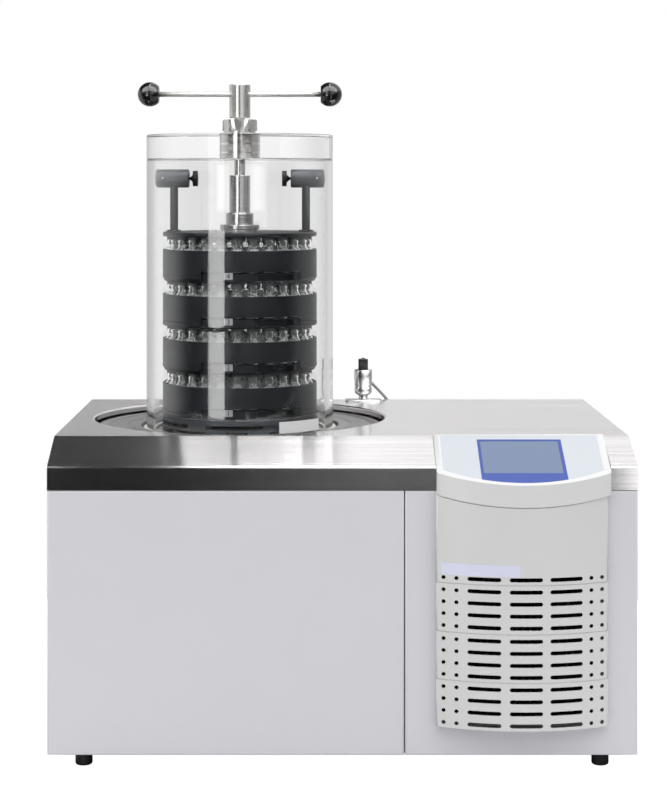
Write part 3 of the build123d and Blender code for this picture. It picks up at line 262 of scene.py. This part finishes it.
# The sweep glows white where the camera sees it, lights the object a little as matt paper does, and
# is nearly black in mirrors.
sweep = bpy.data.materials.new("white_sweep")
sweep.use_nodes = True
paper = Shader(sweep.node_tree)
matt = paper.add("ShaderNodeBsdfDiffuse")
glow = paper.add("ShaderNodeEmission")
both = paper.add("ShaderNodeAddShader")
seen = paper.add("ShaderNodeLightPath")
mirrored_in = paper.math("MINIMUM", seen.outputs["Glossy Depth"], 1.0)
bounced = paper.math("MINIMUM", seen.outputs["Diffuse Depth"], 1.0)
paper.feed(matt.inputs["Color"], paper.blend(mirrored_in, grey(0.66), grey(0.02)))
paper.feed(glow.inputs["Color"], grey(1.0))
indirect = paper.math("MAXIMUM", mirrored_in, bounced)
paper.feed(glow.inputs["Strength"], paper.math("SUBTRACT", 1.0, indirect))
paper.feed(both.inputs[0], matt.outputs[0])
paper.feed(both.inputs[1], glow.outputs[0])
paper.feed(paper.add("ShaderNodeOutputMaterial").inputs["Surface"], both.outputs[0])
floor.data.materials.append(sweep)
floor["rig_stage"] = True


# ---- vacuum sensor's cable -----------------------------------------------------------------------
# A short grey signal cable, 4.8 mm thick, from the sensor's boss straight over the back edge and
# down into its right-angle plug on the rear panel.
def srgb(r, g, b):
    """A display colour from 0 to 255 as the linear colour that a shader takes."""
    c = np.array([r, g, b], float) / 255
    c = np.where(c <= 0.04045, c / 12.92, ((c + 0.055) / 1.055) ** 2.4)
    return (*c.tolist(), 1.0)


def surface(name, colour, roughness=0.5, metallic=0.0, **inputs):
    """A principled material, its Shader and its main node, with plain numbers on the sockets."""
    material = bpy.data.materials.new(name)
    material.use_nodes = True
    shader = Shader(material.node_tree)
    body = shader.add("ShaderNodeBsdfPrincipled")
    body.inputs["Base Color"].default_value = colour
    body.inputs["Roughness"].default_value = roughness
    body.inputs["Metallic"].default_value = metallic
    for key, value in inputs.items():
        body.inputs[key.replace("_", " ")].default_value = value
    shader.feed(shader.add("ShaderNodeOutputMaterial").inputs["Surface"], body.outputs[0])
    return material, shader, body


def grain(shader, scale, stretch=(1, 1, 1), detail=4.0):
    """Noise on the piece's own coordinates, with scale times stretch cycles a metre on each axis."""
    mapping = shader.add("ShaderNodeMapping")
    shader.feed(mapping.inputs[0], shader.add("ShaderNodeTexCoord").outputs["Object"])
    mapping.inputs["Scale"].default_value = [scale * s for s in stretch]
    noise = shader.add("ShaderNodeTexNoise")
    noise.inputs["Scale"].default_value = 1.0
    noise.inputs["Detail"].default_value = detail
    shader.feed(noise.inputs["Vector"], mapping.outputs[0])
    return noise.outputs["Fac"]


def mottle(shader, body, noise, colour, spread):
    """Varies a colour a little round its value by a noise from 0 to 1."""
    low = tuple(c * (1 - spread) for c in colour[:3]) + (1.0,)
    high = tuple(min(c * (1 + spread), 1.0) for c in colour[:3]) + (1.0,)
    shader.feed(body.inputs["Base Color"], shader.blend(noise, low, high))


cable_d, cable_length = 0.0048, 0.141
cable_points = [(0.05197, 0.25173, 0.46359), (0.0771, 0.2765, 0.4375), (0.098, 0.290, 0.405),
                (0.107, 0.292, 0.374), (0.107, 0.292, 0.350)]
line = bpy.data.curves.new("sensor_cable_line", "CURVE")
line.dimensions = "3D"
line.bevel_depth = cable_d / 2
line.bevel_resolution = 6
line.resolution_u = 24
line.use_fill_caps = True
spline = line.splines.new("NURBS")
spline.points.add(len(cable_points) - 1)
for point, place in zip(spline.points, cable_points):
    point.co = (*place, 1.0)
spline.order_u = 3
spline.use_endpoint_u = True
cable = bpy.data.objects.new("sensor_cable_line", line)
bpy.context.scene.collection.objects.link(cable)
sheath_colour = srgb(206, 206, 204)
sheath, sheath_tree, sheath_body = surface("cable_sheath", sheath_colour, 0.46)
mottle(sheath_tree, sheath_body, grain(sheath_tree, 900), sheath_colour, 0.05)
line.materials.append(sheath)
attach(cable, "housing")
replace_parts(cable, "sensor_cable")


# ---- painted sheet-steel cabinet -----------------------------------------------------------------
# Front, side and rear panels of folded 1.5 mm sheet with rolled front edges, powder coated and hung
# on the base tray.
slots = {entry["node"]: entry["material_slot"] for entry in record["subparts"]}
home = {node: body for body, nodes in record["behaviour"]["bodies"].items() for node in nodes}


def follow_surface(mesh, outward, within):
    """Gives a face corner the true surface's normal where its face is within some degrees of it."""
    count = len(mesh.loops)
    corner = np.empty(count, dtype=np.int32)
    mesh.loops.foreach_get("vertex_index", corner)
    points = np.empty(len(mesh.vertices) * 3)
    mesh.vertices.foreach_get("co", points)
    flat = np.empty(len(mesh.polygons) * 3)
    mesh.polygons.foreach_get("normal", flat)
    sides = np.empty(len(mesh.polygons), dtype=np.int32)
    mesh.polygons.foreach_get("loop_total", sides)
    face_normal = np.repeat(flat.reshape(-1, 3), sides, axis=0)
    true_normal = outward(points.reshape(-1, 3)[corner])
    along = np.abs((face_normal * true_normal).sum(1)) > math.cos(math.radians(within))
    facing = np.sign((face_normal * true_normal).sum(1))[:, None]
    mesh.normals_split_custom_set(np.where(along[:, None], true_normal * facing, 0.0).tolist())


def dressed(node, material, sharp=28.0, round_edges=0.0, outward=None, within=14.0, weighted=False):
    """A merged copy of a node with smooth curves and crisp folds, shown in the node's place.

    Folds above the sharp angle stay crisp, round_edges is the radius that edges are worn to,
    outward gives a round surface's own normals, and weighted keeps large flat faces flat.
    """
    mesh = frame["nodes"][node].data.copy()
    mesh.name = node + "_skin"
    tidy = bmesh.new()
    tidy.from_mesh(mesh)
    bmesh.ops.remove_doubles(tidy, verts=tidy.verts, dist=2e-6)
    bmesh.ops.dissolve_degenerate(tidy, edges=tidy.edges, dist=1e-7)
    tidy.to_mesh(mesh)
    tidy.free()
    mesh.shade_smooth()
    mesh.set_sharp_from_angle(angle=math.radians(sharp))
    if outward:
        follow_surface(mesh, outward, within)
    mesh.materials.clear()
    mesh.materials.append(material)
    piece = bpy.data.objects.new(node + "_skin", mesh)
    bpy.context.scene.collection.objects.link(piece)
    if round_edges:
        bevel = piece.modifiers.new("rounded_edges", "BEVEL")
        bevel.width, bevel.segments, bevel.limit_method = round_edges, 2, "ANGLE"
        bevel.angle_limit = math.radians(40)
    if weighted:
        piece.modifiers.new("large_faces_lead", "WEIGHTED_NORMAL").keep_sharp = True
    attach(piece, home[node])
    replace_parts(piece, node)


def roughen(shader, body, height, strength, distance):
    """Turns a height into bump on a principled node."""
    bump = shader.add("ShaderNodeBump")
    bump.inputs["Strength"].default_value = strength
    bump.inputs["Distance"].default_value = distance
    shader.feed(bump.inputs["Height"], height)
    shader.feed(body.inputs["Normal"], bump.outputs[0])


def powder_coat():
    """Pale cool grey powder coat with a very fine orange peel."""
    colour = srgb(208, 208, 213)
    material, shader, body = surface("powder_coat", colour, 0.40, Specular_IOR_Level=0.45)
    mottle(shader, body, grain(shader, 14, detail=2.0), colour, 0.012)
    roughen(shader, body, grain(shader, 1500, detail=2.0), 0.10, 0.00006)
    return material


coat = powder_coat()
for panel in ("front_panel_left", "front_panel_right", "side_panels", "rear_panel"):
    dressed(panel, coat, weighted=True)


# ---- feet ----------------------------------------------------------------------------------------
# Four black rubber feet near the cabinet's corners, moulded with rounded undersides and screwed up
# into the base tray.
def black_rubber():
    """Matt moulded rubber, darkened unevenly."""
    colour = srgb(28, 28, 29)
    material, shader, body = surface("black_rubber", colour, 0.55)
    mottle(shader, body, grain(shader, 700), colour, 0.25)
    roughen(shader, body, grain(shader, 1800), 0.2, 0.0001)
    return material


dressed("feet", black_rubber())


# ---- stainless top cover -------------------------------------------------------------------------
# One folded sheet of stainless steel with an upright front strip, a sloping bevel and a flat top,
# brushed along its width, with a round cut-out whose rim is turned down.
def smear(shader, body, across, amount):
    """Draws out what a metal mirrors along one direction, across its brushing or turning marks."""
    body.inputs["Anisotropic"].default_value = amount
    heading = shader.add("ShaderNodeCombineXYZ")
    for socket, value in zip(heading.inputs, across):
        socket.default_value = value
    shader.feed(body.inputs["Tangent"], heading.outputs[0])


def brushed_steel(name, colour, roughness, stretch, wear=0.0, across=None):
    """Polished sheet with a grain of fine lines along the stretched axis, which smears what it
    mirrors across the grain, coarser streaks in the same direction and a few faint smudges."""
    material, shader, body = surface(name, colour, roughness, 1.0)
    lines = grain(shader, 1, stretch, detail=6.0)
    streaks = grain(shader, 0.09, stretch, detail=4.0)
    cloud = grain(shader, 6, detail=3.0)
    both = shader.product(shader.total(lines, shader.step(streaks, 0.3, 0.7)), 0.5)
    mottle(shader, body, both, colour, 0.20)
    spread = shader.product(shader.math("SUBTRACT", lines, 0.5), 0.08)
    smudge = shader.product(shader.math("SUBTRACT", cloud, 0.5), wear)
    shader.feed(body.inputs["Roughness"], shader.total(roughness, shader.total(spread, smudge)))
    roughen(shader, body, lines, 0.03, 0.00001)
    if across:
        smear(shader, body, across, 1.0)
    return material


along_width, up_the_slope = (5, 2600, 2600), (0, 0.7, 0.7)
sheet_steel = brushed_steel("sheet_steel", srgb(228, 226, 226), 0.145, along_width, 0.03, up_the_slope)
dressed("top_cover", sheet_steel, sharp=14.0)


# ---- cover plate and chamber seal ----------------------------------------------------------------
# A flat plate, turned with two fine circle lines and stoved grey, rests in the cut-out round the ice
# condenser. The chamber stands on a flat moulded seal.
def painted_plate():
    """Stoved grey paint with a low sheen over fine turning marks."""
    colour = srgb(122, 121, 121)
    material, shader, body = surface("painted_plate", colour, 0.38, Specular_IOR_Level=0.5)
    mottle(shader, body, grain(shader, 30, detail=4.0), colour, 0.08)
    roughen(shader, body, grain(shader, 900), 0.08, 0.00005)
    return material


dressed("well_plate", painted_plate(), sharp=20.0)


def moulded_rubber(name, colour, roughness):
    """Moulded rubber with a faint bloom and a fine skin."""
    material, shader, body = surface(name, colour, roughness)
    mottle(shader, body, grain(shader, 260), colour, 0.18)
    roughen(shader, body, grain(shader, 1600), 0.15, 0.00008)
    return material


seal_rubber = moulded_rubber("seal_rubber", srgb(214, 214, 208), 0.42)
dressed("chamber_seal", seal_rubber)


# ---- ice condenser under the chamber -------------------------------------------------------------
# A deep-drawn stainless pot, in which the vapour freezes, welded under its flange and hung in a
# jacket of closed-cell foam, dark so that it also gives painted shade in the gap round the cut-out.
deep_drawn = brushed_steel("deep_drawn", srgb(214, 214, 214), 0.30, (500, 500, 30), 0.2)
dressed("ice_pot", deep_drawn)


def closed_foam():
    """Closed-cell foam with a fine pitted skin, dark also as painted shade for the gap round the cut-out.
    """
    # painted shade: this dark grey is the foam's colour and also stands for the shadow in the gap round the
    # cut-out
    colour = srgb(58, 59, 61)
    material, shader, body = surface("closed_foam", colour, 0.85)
    cells = grain(shader, 500)
    mottle(shader, body, cells, colour, 0.15)
    roughen(shader, body, cells, 0.5, 0.0006)
    return material


dressed("pot_insulation", closed_foam())


# ---- acrylic drying chamber ----------------------------------------------------------------------
# A clear cast-acrylic tube with polished ends, a flat clear silicone ring on its top and a thick
# clear acrylic lid whose two edges are chamfered. All three only rest on each other.
def away_from(upright_axis):
    """A function that gives each point's unit vector straight away from an upright axis."""
    def outward(points):
        away = points - (*upright_axis, 0.0)
        away[:, 2] = 0.0
        return away / np.maximum(np.linalg.norm(away, axis=1, keepdims=True), 1e-9)
    return outward


round_chamber = away_from(chamber_axis)


def clear_plastic(name, tint, roughness=0.0):
    """Clear acrylic, silicone or glass that lets light straight through to what stands inside."""
    material, shader, body = surface(name, tint, roughness, Transmission_Weight=1.0, IOR=1.49)
    out = next(n for n in shader.tree.nodes if n.type == "OUTPUT_MATERIAL")
    rays = shader.add("ShaderNodeLightPath")
    through = shader.add("ShaderNodeBsdfTransparent")
    through.inputs["Color"].default_value = (0.96, 0.96, 0.96, 1)
    either = shader.add("ShaderNodeMixShader")
    lighting = shader.math("MAXIMUM", rays.outputs["Is Shadow Ray"], rays.outputs["Is Diffuse Ray"])
    shader.feed(either.inputs[0], lighting)
    shader.feed(either.inputs[1], body.outputs[0])
    shader.feed(either.inputs[2], through.outputs[0])
    shader.feed(out.inputs["Surface"], either.outputs[0])
    return material


cast_acrylic = clear_plastic("cast_acrylic", (0.905, 0.908, 0.905, 1))
lid_acrylic = clear_plastic("lid_acrylic", (0.96, 0.963, 0.96, 1))
clear_silicone = clear_plastic("clear_silicone", (0.97, 0.97, 0.96, 1), 0.15)
dressed("chamber_tube", cast_acrylic, outward=round_chamber)
dressed("chamber_lid", lid_acrylic, outward=round_chamber)
dressed("lid_seal", clear_silicone)

sticker_z, sticker_h, sticker_w, sticker_turn = 0.4321, 0.0164, 0.0754, math.radians(41.8)
tube_r = 0.137


def wrapped_sheet(name, axis, radius, width, height, middle_z, turn):
    """A thin label bent round an upright cylinder: angle by arc length over radius, height upright."""
    half_width = width / 2
    glue_t, label_t = 0.00002, 0.00012
    s, t = np.meshgrid(np.linspace(-1, 1, 41), np.linspace(-1, 1, 9))
    points = []
    for r in (radius + glue_t, radius + label_t):
        angle = s * half_width / radius + turn
        points.append(np.stack([axis[0] + r * np.sin(angle), axis[1] - r * np.cos(angle),
                                middle_z + t * height / 2], -1).reshape(-1, 3))
    rows, columns = s.shape
    cell = np.arange(rows * columns).reshape(rows, columns)
    inner = np.stack([cell[:-1, :-1], cell[:-1, 1:], cell[1:, 1:], cell[1:, :-1]], -1).reshape(-1, 4)
    outer = inner[:, ::-1] + rows * columns
    rim = np.concatenate([cell[0, :], cell[1:, -1], cell[-1, -2::-1], cell[-2:0:-1, 0]])
    after = np.roll(rim, -1)
    edge = np.stack([rim, after, after + rows * columns, rim + rows * columns], -1)
    return face_object(name, np.concatenate(points), np.concatenate([inner, outer, edge]).tolist())


# The maker's sticker low on the tube, left blank.
sticker = wrapped_sheet("tube_sticker", chamber_axis, tube_r, sticker_w, sticker_h, sticker_z, sticker_turn)
label_paper, _, _ = surface("label_paper", srgb(238, 238, 238), 0.45)
sticker.data.materials.append(label_paper)
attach(sticker, "housing")


# ---- lid bush ------------------------------------------------------------------------------------
# A turned and polished steel bush through the lid, with a flange and a hexagon, that guides the
# spindle and seals on it.
def turned_metal(name, colour, roughness):
    """Machined metal with fine turning marks round its axis, which draw highlights out upright."""
    material, shader, body = surface(name, colour, roughness, 1.0)
    marks = grain(shader, 1, (30, 30, 2600), detail=3.0)
    mottle(shader, body, marks, colour, 0.10)
    shader.feed(body.inputs["Roughness"], shader.total(roughness - 0.04, shader.product(marks, 0.08)))
    smear(shader, body, (0.05, 0.05, 1.0), 0.8)
    return material


polished = turned_metal("polished_steel", srgb(208, 207, 205), 0.24)
dressed("lid_bush", polished, sharp=25.0, outward=round_chamber, within=6.0)


# ---- rack base, guide rods, shelves and tray rings -----------------------------------------------
# Turned aluminium plates, dark anodised. A base on short feet carries the lowest shelf, and each
# shelf carries a tray ring. The upper shelves slide on two grey anodised guide rods.
def anodised(name, colour, roughness):
    """Anodised aluminium with faint turning marks and a soft mottle from handling."""
    material, shader, body = surface(name, colour, roughness, 0.25, Specular_IOR_Level=0.6)
    cloud = grain(shader, 25, detail=5.0)
    marks = grain(shader, 1, (40, 40, 1300), detail=2.0)
    mottle(shader, body, cloud, colour, 0.16)
    shader.feed(body.inputs["Roughness"], shader.total(roughness - 0.06, shader.product(cloud, 0.12)))
    roughen(shader, body, marks, 0.05, 0.00003)
    return material


dark_anodised = anodised("dark_anodised", srgb(27, 32, 37), 0.36)
base_anodised = anodised("base_anodised", srgb(66, 71, 77), 0.40)
grey_anodised = anodised("grey_anodised", srgb(92, 96, 100), 0.42)
dressed("rack_base", base_anodised, outward=round_chamber)
dressed("guide_rods", grey_anodised)
for level in (1, 2, 3, 4):
    dressed(f"shelf_{level}", dark_anodised, outward=round_chamber)
    dressed(f"tray_ring_{level}", dark_anodised, round_edges=0.0005)


# ---- shelf number plates -------------------------------------------------------------------------
# A small pale plastic plate at the front of each shelf, with the shelf's number printed on it in
# black.
axis_x, axis_y = chamber_axis
shelf_under, shelf_pitch = 0.4411, 0.06475  # the lowest shelf's underside, and up to the next one
tag_x, tag_y, tag_rise = axis_x - 0.01195, axis_y - 0.1107, 0.0104
tag_w, tag_h, tag_t, tag_corner = 0.0122, 0.0096, 0.0008, 0.0008
digit_h, digit_t, digit_proud = 0.0105, 0.00005, 0.00006
tag_plastic, _, _ = surface("tag_plastic", srgb(190, 192, 194), 0.4)
tag_ink, _, _ = surface("tag_ink", srgb(34, 34, 36), 0.5)


def plate_xz(name, x, y, z, w, h, t, corner, material):
    """An upright plate facing the front, its face at y and its thickness t behind it. Its outline is
    four quarter circles joined by straight sides."""
    turn = np.linspace(0, math.pi / 2, 7)
    quarter = np.stack([np.cos(turn), np.sin(turn)], 1) * corner
    outline = []
    for sx, sz in ((1, 1), (-1, 1), (-1, -1), (1, -1)):
        arc = quarter if sx * sz > 0 else quarter[::-1]
        outline.append(arc * (sx, sz) + (sx * (w / 2 - corner), sz * (h / 2 - corner)))
    outline = np.concatenate(outline)
    n = len(outline)
    front = np.stack([x + outline[:, 0], np.full(n, y), z + outline[:, 1]], 1)
    back = front + (0, t, 0)
    k = np.arange(n)
    sides = np.stack([k, np.roll(k, -1), np.roll(k, -1) + n, k + n], 1).tolist()
    faces = sides + [k.tolist(), (k[::-1] + n).tolist()]
    plate = face_object(name, np.concatenate([front, back]), faces)
    plate.data.materials.append(material)
    return plate


for level in (1, 2, 3, 4):
    middle = shelf_under + shelf_pitch * (level - 1) + tag_rise
    tag = plate_xz(f"number_plate_{level}", tag_x, tag_y, middle, tag_w, tag_h, tag_t, tag_corner,
                   tag_plastic)
    digit = bpy.data.curves.new(f"number_{level}", "FONT")
    digit.body = str(level)
    digit.size, digit.extrude = digit_h, digit_t
    digit.align_x, digit.align_y = "CENTER", "CENTER"
    written = bpy.data.objects.new(f"number_{level}_text", digit)
    bpy.context.scene.collection.objects.link(written)
    flat = bpy.data.meshes.new_from_object(written)
    bpy.data.objects.remove(written)
    points = np.empty(len(flat.vertices) * 3)
    flat.vertices.foreach_get("co", points)
    points = points.reshape(-1, 3)
    points -= (points.max(0) + points.min(0)) / 2
    face_y = tag_y - digit_proud
    placed = np.stack([tag_x + points[:, 0], face_y - points[:, 2], middle + points[:, 1]], 1)
    flat.vertices.foreach_set("co", placed.ravel())
    flat.materials.clear()
    flat.materials.append(tag_ink)
    number = bpy.data.objects.new(f"number_{level}", flat)
    bpy.context.scene.collection.objects.link(number)
    for piece in (tag, number):
        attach(piece, home[f"shelf_{level}"])


# ---- vials and rubber stoppers -------------------------------------------------------------------
# Forty-six clear glass vials stand on each shelf in two rings inside its tray ring, each with a grey
# rubber stopper in its neck.
vial_glass = clear_plastic("vial_glass", (0.97, 0.98, 0.98, 1))
stopper_rubber = moulded_rubber("stopper_rubber", srgb(84, 86, 88), 0.42)


def lathe(name, profile, places, sides, material):
    """Profile points (radius, height) turned about an upright axis at each (x, y, z) place."""
    profile = np.asarray(profile, float)
    angle = np.linspace(0, 2 * math.pi, sides, endpoint=False)
    ring = np.stack([np.outer(profile[:, 0], np.cos(angle)), np.outer(profile[:, 0], np.sin(angle)),
                     np.repeat(profile[:, 1:2], sides, 1)], -1).reshape(-1, 3)
    rings = len(profile)
    cell = np.arange(rings * sides).reshape(rings, sides)
    after = np.roll(cell, -1, axis=1)
    quads = np.stack([cell[:-1], after[:-1], after[1:], cell[1:]], -1).reshape(-1, 4)
    caps = [cell[0][::-1], cell[-1]]
    points, faces = [], []
    for k, place in enumerate(places):
        points.append(ring + place)
        first = k * rings * sides
        faces += (quads + first).tolist() + [(cap + first).tolist() for cap in caps]
    turned = face_object(name, np.concatenate(points), faces)
    turned.data.materials.append(material)
    return turned


foot_and_wall = [(0.0, 0.0), (0.0092, 0.0), (0.0103, 0.0004), (0.0109, 0.0014), (0.0109, 0.0316)]
shoulder_and_neck = [(0.0105, 0.0336), (0.0094, 0.0354), (0.0082, 0.0370), (0.0075, 0.0392),
                     (0.0075, 0.0436)]
lip = [(0.0088, 0.0440), (0.0093, 0.0450), (0.0092, 0.0470), (0.0086, 0.0474), (0.0067, 0.0472),
       (0.0064, 0.0464)]
inside_wall = [(0.0064, 0.0390), (0.0073, 0.0362), (0.0095, 0.0336), (0.0098, 0.0322), (0.0098, 0.0024)]
inside_floor = [(0.0090, 0.0016), (0.0, 0.0016)]
vial_profile = foot_and_wall + shoulder_and_neck + lip + inside_wall + inside_floor
vial_lift = 0.013  # from a shelf's underside to the vials' feet
ring_places = ((0.0985, 28), (0.0750, 20))  # radius of each ring of vials, and its count
rod_off, rod_clear = 0.0973, 0.0179  # no vial's axis lies nearer than this to a guide rod's
angles = [2 * math.pi * k / count for _, count in ring_places for k in range(count)]
radii = [radius for radius, count in ring_places for _ in range(count)]
spots = np.stack([radii * np.cos(angles), radii * np.sin(angles)], 1)
spots = spots[np.hypot(np.abs(spots[:, 0]) - rod_off, spots[:, 1]) > rod_clear]
for level in (1, 2, 3, 4):
    foot_z = shelf_under + shelf_pitch * (level - 1) + vial_lift
    places = np.column_stack([spots + chamber_axis, np.full(len(spots), foot_z)])
    glass = lathe(f"glass_vials_{level}", vial_profile, places, 24, vial_glass)
    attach(glass, home[f"vials_{level}"])
    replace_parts(glass, f"vials_{level}")
    dressed(f"stoppers_{level}", stopper_rubber)


# ---- pressure plate and clamp screws -------------------------------------------------------------
# A turned dark plate under the sleeve lies over the top stoppers. A knurled screw runs into the head
# of each guide rod, and a bright pin's end shows in the head's front.
dressed("pressure_plate", dark_anodised, outward=round_chamber)
clamp_anodised = anodised("clamp_anodised", srgb(30, 34, 38), 0.36)
for side in ("left", "right"):
    dressed(f"clamp_screw_{side}", clamp_anodised)
pin_r, pin_dome, pin_sunk, pin_off, pin_fore = 0.0014, 0.0007, 0.001, 0.113, 0.0133
quarter_turn = np.linspace(0, math.pi / 2, 6)
dome = np.stack([pin_r * np.cos(quarter_turn), pin_dome * np.sin(quarter_turn)], 1)
pin_profile = np.vstack([(pin_r, -pin_sunk), dome])
for side, sign in (("left", -1), ("right", 1)):
    low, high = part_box(f"clamp_screw_{side}")
    pin = lathe(f"clamp_pin_{side}", pin_profile, [(0.0, 0.0, 0.0)], 20, polished)
    points = np.empty(len(pin.data.vertices) * 3)
    pin.data.vertices.foreach_get("co", points)
    points = points.reshape(-1, 3)
    place = (axis_x + sign * pin_off, axis_y - pin_fore, (low[2] + high[2]) / 2)
    points = points[:, (0, 2, 1)] * (1, -1, 1) + place
    pin.data.vertices.foreach_set("co", points.ravel())
    pin.data.flip_normals()
    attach(pin, home[f"clamp_screw_{side}"])


# ---- sleeve, spindle, tee bar and knobs ----------------------------------------------------------
# The spindle turns in the lid's bush and in the sleeve, and moves up and down with the sleeve. A tee
# bar through its head carries two black phenolic ball knobs.
sleeve_steel = turned_metal("sleeve_steel", srgb(204, 204, 204), 0.26)
dressed("press_sleeve", sleeve_steel, sharp=25.0, outward=round_chamber)
dressed("spindle", polished, sharp=25.0, outward=round_chamber)
bar_steel, bar_tree, bar_body = surface("bar_steel", srgb(226, 225, 222), 0.50, 1.0)
roughen(bar_tree, bar_body, grain(bar_tree, 1, (2400, 40, 40)), 0.04, 0.00002)
dressed("tee_bar", bar_steel)


def phenolic():
    """Polished black phenolic with a soft ripple under its gloss."""
    colour = srgb(20, 20, 21)
    material, shader, body = surface("phenolic", colour, 0.16, Coat_Weight=0.5, Coat_Roughness=0.06)
    roughen(shader, body, grain(shader, 240, detail=3.0), 0.03, 0.0002)
    return material


dressed("ball_knobs", phenolic())


# ---- control console -----------------------------------------------------------------------------
# A moulded white housing on the steel bevel, with a bowed front, a printed film on its slope and
# a display window under the film.
def moulded_plastic(name, colour, roughness):
    """Moulded plastic with a fine spark-eroded skin."""
    material, shader, body = surface(name, colour, roughness)
    mottle(shader, body, grain(shader, 30, detail=2.0), colour, 0.012)
    roughen(shader, body, grain(shader, 1700, detail=2.0), 0.06, 0.00006)
    return material


console_white = moulded_plastic("console_white", srgb(213, 213, 214), 0.36)
dressed("console_housing", console_white, weighted=True)


def inside(shader, value, low, high):
    """1 between two values and 0 outside them, with a short ramp at each end."""
    soft = 0.00012
    return shader.product(shader.step(value, low - soft, low + soft),
                          shader.step(value, high + soft, high - soft))


def printed_film():
    """Satin film printed pale grey with fine upright stripes and a blue surround for the display."""
    pale, stripe, blue = srgb(195, 199, 204), srgb(187, 193, 200), srgb(50, 76, 158)
    material, shader, body = surface("printed_film", pale, 0.34)
    place = shader.add("ShaderNodeSeparateXYZ")
    shader.feed(place.inputs[0], shader.add("ShaderNodeTexCoord").outputs["Object"])
    x, y, _ = place.outputs
    stripe_pitch, surround_left, surround_right, surround_back = 0.0023, 0.182, 0.2955, -0.2072
    wave = shader.math("SINE", shader.product(x, 2 * math.pi / stripe_pitch))
    striped = shader.blend(shader.step(wave, -0.2, 0.2), pale, stripe)
    surround = shader.product(inside(shader, x, surround_left, surround_right),
                              shader.step(y, surround_back, surround_back - 0.0004))
    shader.feed(body.inputs["Base Color"], shader.blend(surround, striped, blue))
    return material


dressed("overlay_film", printed_film())
screen_tint, _, _ = surface("screen_tint", srgb(106, 123, 151), 0.10)
dressed("display", screen_tint)


# ---- right front grille cover --------------------------------------------------------------------
# A moulded, bowed cover in front of the fan, with rows of slots and round holes parted by shadow
# grooves, and a blank pale label above them.
grille_x, grille_front = 0.236, -0.307
grille_half, grille_bulge = 0.1132, 0.027  # half the bow's chord, and its rise
grille_r = (grille_half ** 2 + grille_bulge ** 2) / (2 * grille_bulge)
bow_axis = (grille_x, grille_front + grille_r)
grille_plastic = moulded_plastic("grille_plastic", srgb(208, 208, 208), 0.40)
dressed("grille_cover", grille_plastic, outward=away_from(bow_axis))
label_h, label_z = 0.0152, 0.2722
label_left, label_right = -0.107, -0.005  # from the cover's middle
label_from, label_to = math.asin(label_left / grille_r), math.asin(label_right / grille_r)
label_w, label_turn = (label_to - label_from) * grille_r, (label_from + label_to) / 2
blank_label = wrapped_sheet("blank_label", bow_axis, grille_r, label_w, label_h, label_z, label_turn)
pale_label, _, _ = surface("pale_label", srgb(214, 214, 236), 0.40)
blank_label.data.materials.append(pale_label)
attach(blank_label, "housing")


# ---- vacuum sensor -------------------------------------------------------------------------------
# A turned metal sensor with a black plastic cap stands on the top cover. Its cable ends in a black
# moulded plug on the rear panel.
sensor_metal = turned_metal("sensor_metal", srgb(196, 196, 196), 0.30)
dressed("sensor_body", sensor_metal)
sensor_black = moulded_plastic("sensor_black", srgb(34, 34, 36), 0.4)
dressed("sensor_cap", sensor_black)
dressed("sensor_plug", sensor_black)


# ---- rear fittings and machinery -----------------------------------------------------------------
# Drain valve, mains inlet and rocker on the rear panel. Compressors, heat exchanger, fan, pipes and
# control box on the galvanised base tray, and the evaporator coil in the pot.
def galvanised_sheet():
    """Zinc-coated steel with a spangle of cells about a centimetre across."""
    colour = srgb(176, 180, 182)
    material, shader, body = surface("galvanised", colour, 0.42, 0.9)
    mapping = shader.add("ShaderNodeMapping")
    shader.feed(mapping.inputs[0], shader.add("ShaderNodeTexCoord").outputs["Object"])
    mapping.inputs["Scale"].default_value = (90, 90, 90)
    spangle = shader.add("ShaderNodeTexVoronoi")
    shader.feed(spangle.inputs["Vector"], mapping.outputs[0])
    mottle(shader, body, spangle.outputs["Distance"], colour, 0.12)
    return material


def drawn_copper():
    """Bright drawn copper, browned in patches."""
    colour = srgb(188, 116, 82)
    material, shader, body = surface("drawn_copper", colour, 0.30, 1.0)
    browned = shader.step(grain(shader, 60, detail=5.0), 0.45, 0.75)
    shader.feed(body.inputs["Base Color"], shader.blend(browned, colour, srgb(124, 76, 58)))
    return material


black_paint = moulded_plastic("black_paint", srgb(30, 31, 32), 0.34)
black_moulding = moulded_plastic("black_moulding", srgb(32, 32, 34), 0.45)
fin_metal = anodised("fin_metal", srgb(60, 54, 50), 0.5)
dressed("heat_exchanger", fin_metal)
finishes = {"painted_panel": coat, "stainless": deep_drawn, "turned_steel": polished,
            "black_rubber": sensor_black, "copper": drawn_copper(), "black_steel": black_paint,
            "zinc": galvanised_sheet(), "black_plastic": black_moulding}

# Each node that nothing stands for yet wears the finish of its material slot.
shown = {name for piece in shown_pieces() for name in (piece.get("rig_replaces") or [])}
for node in frame["nodes"]:
    if node not in shown:
        dressed(node, finishes.get(slots[node], black_moulding))
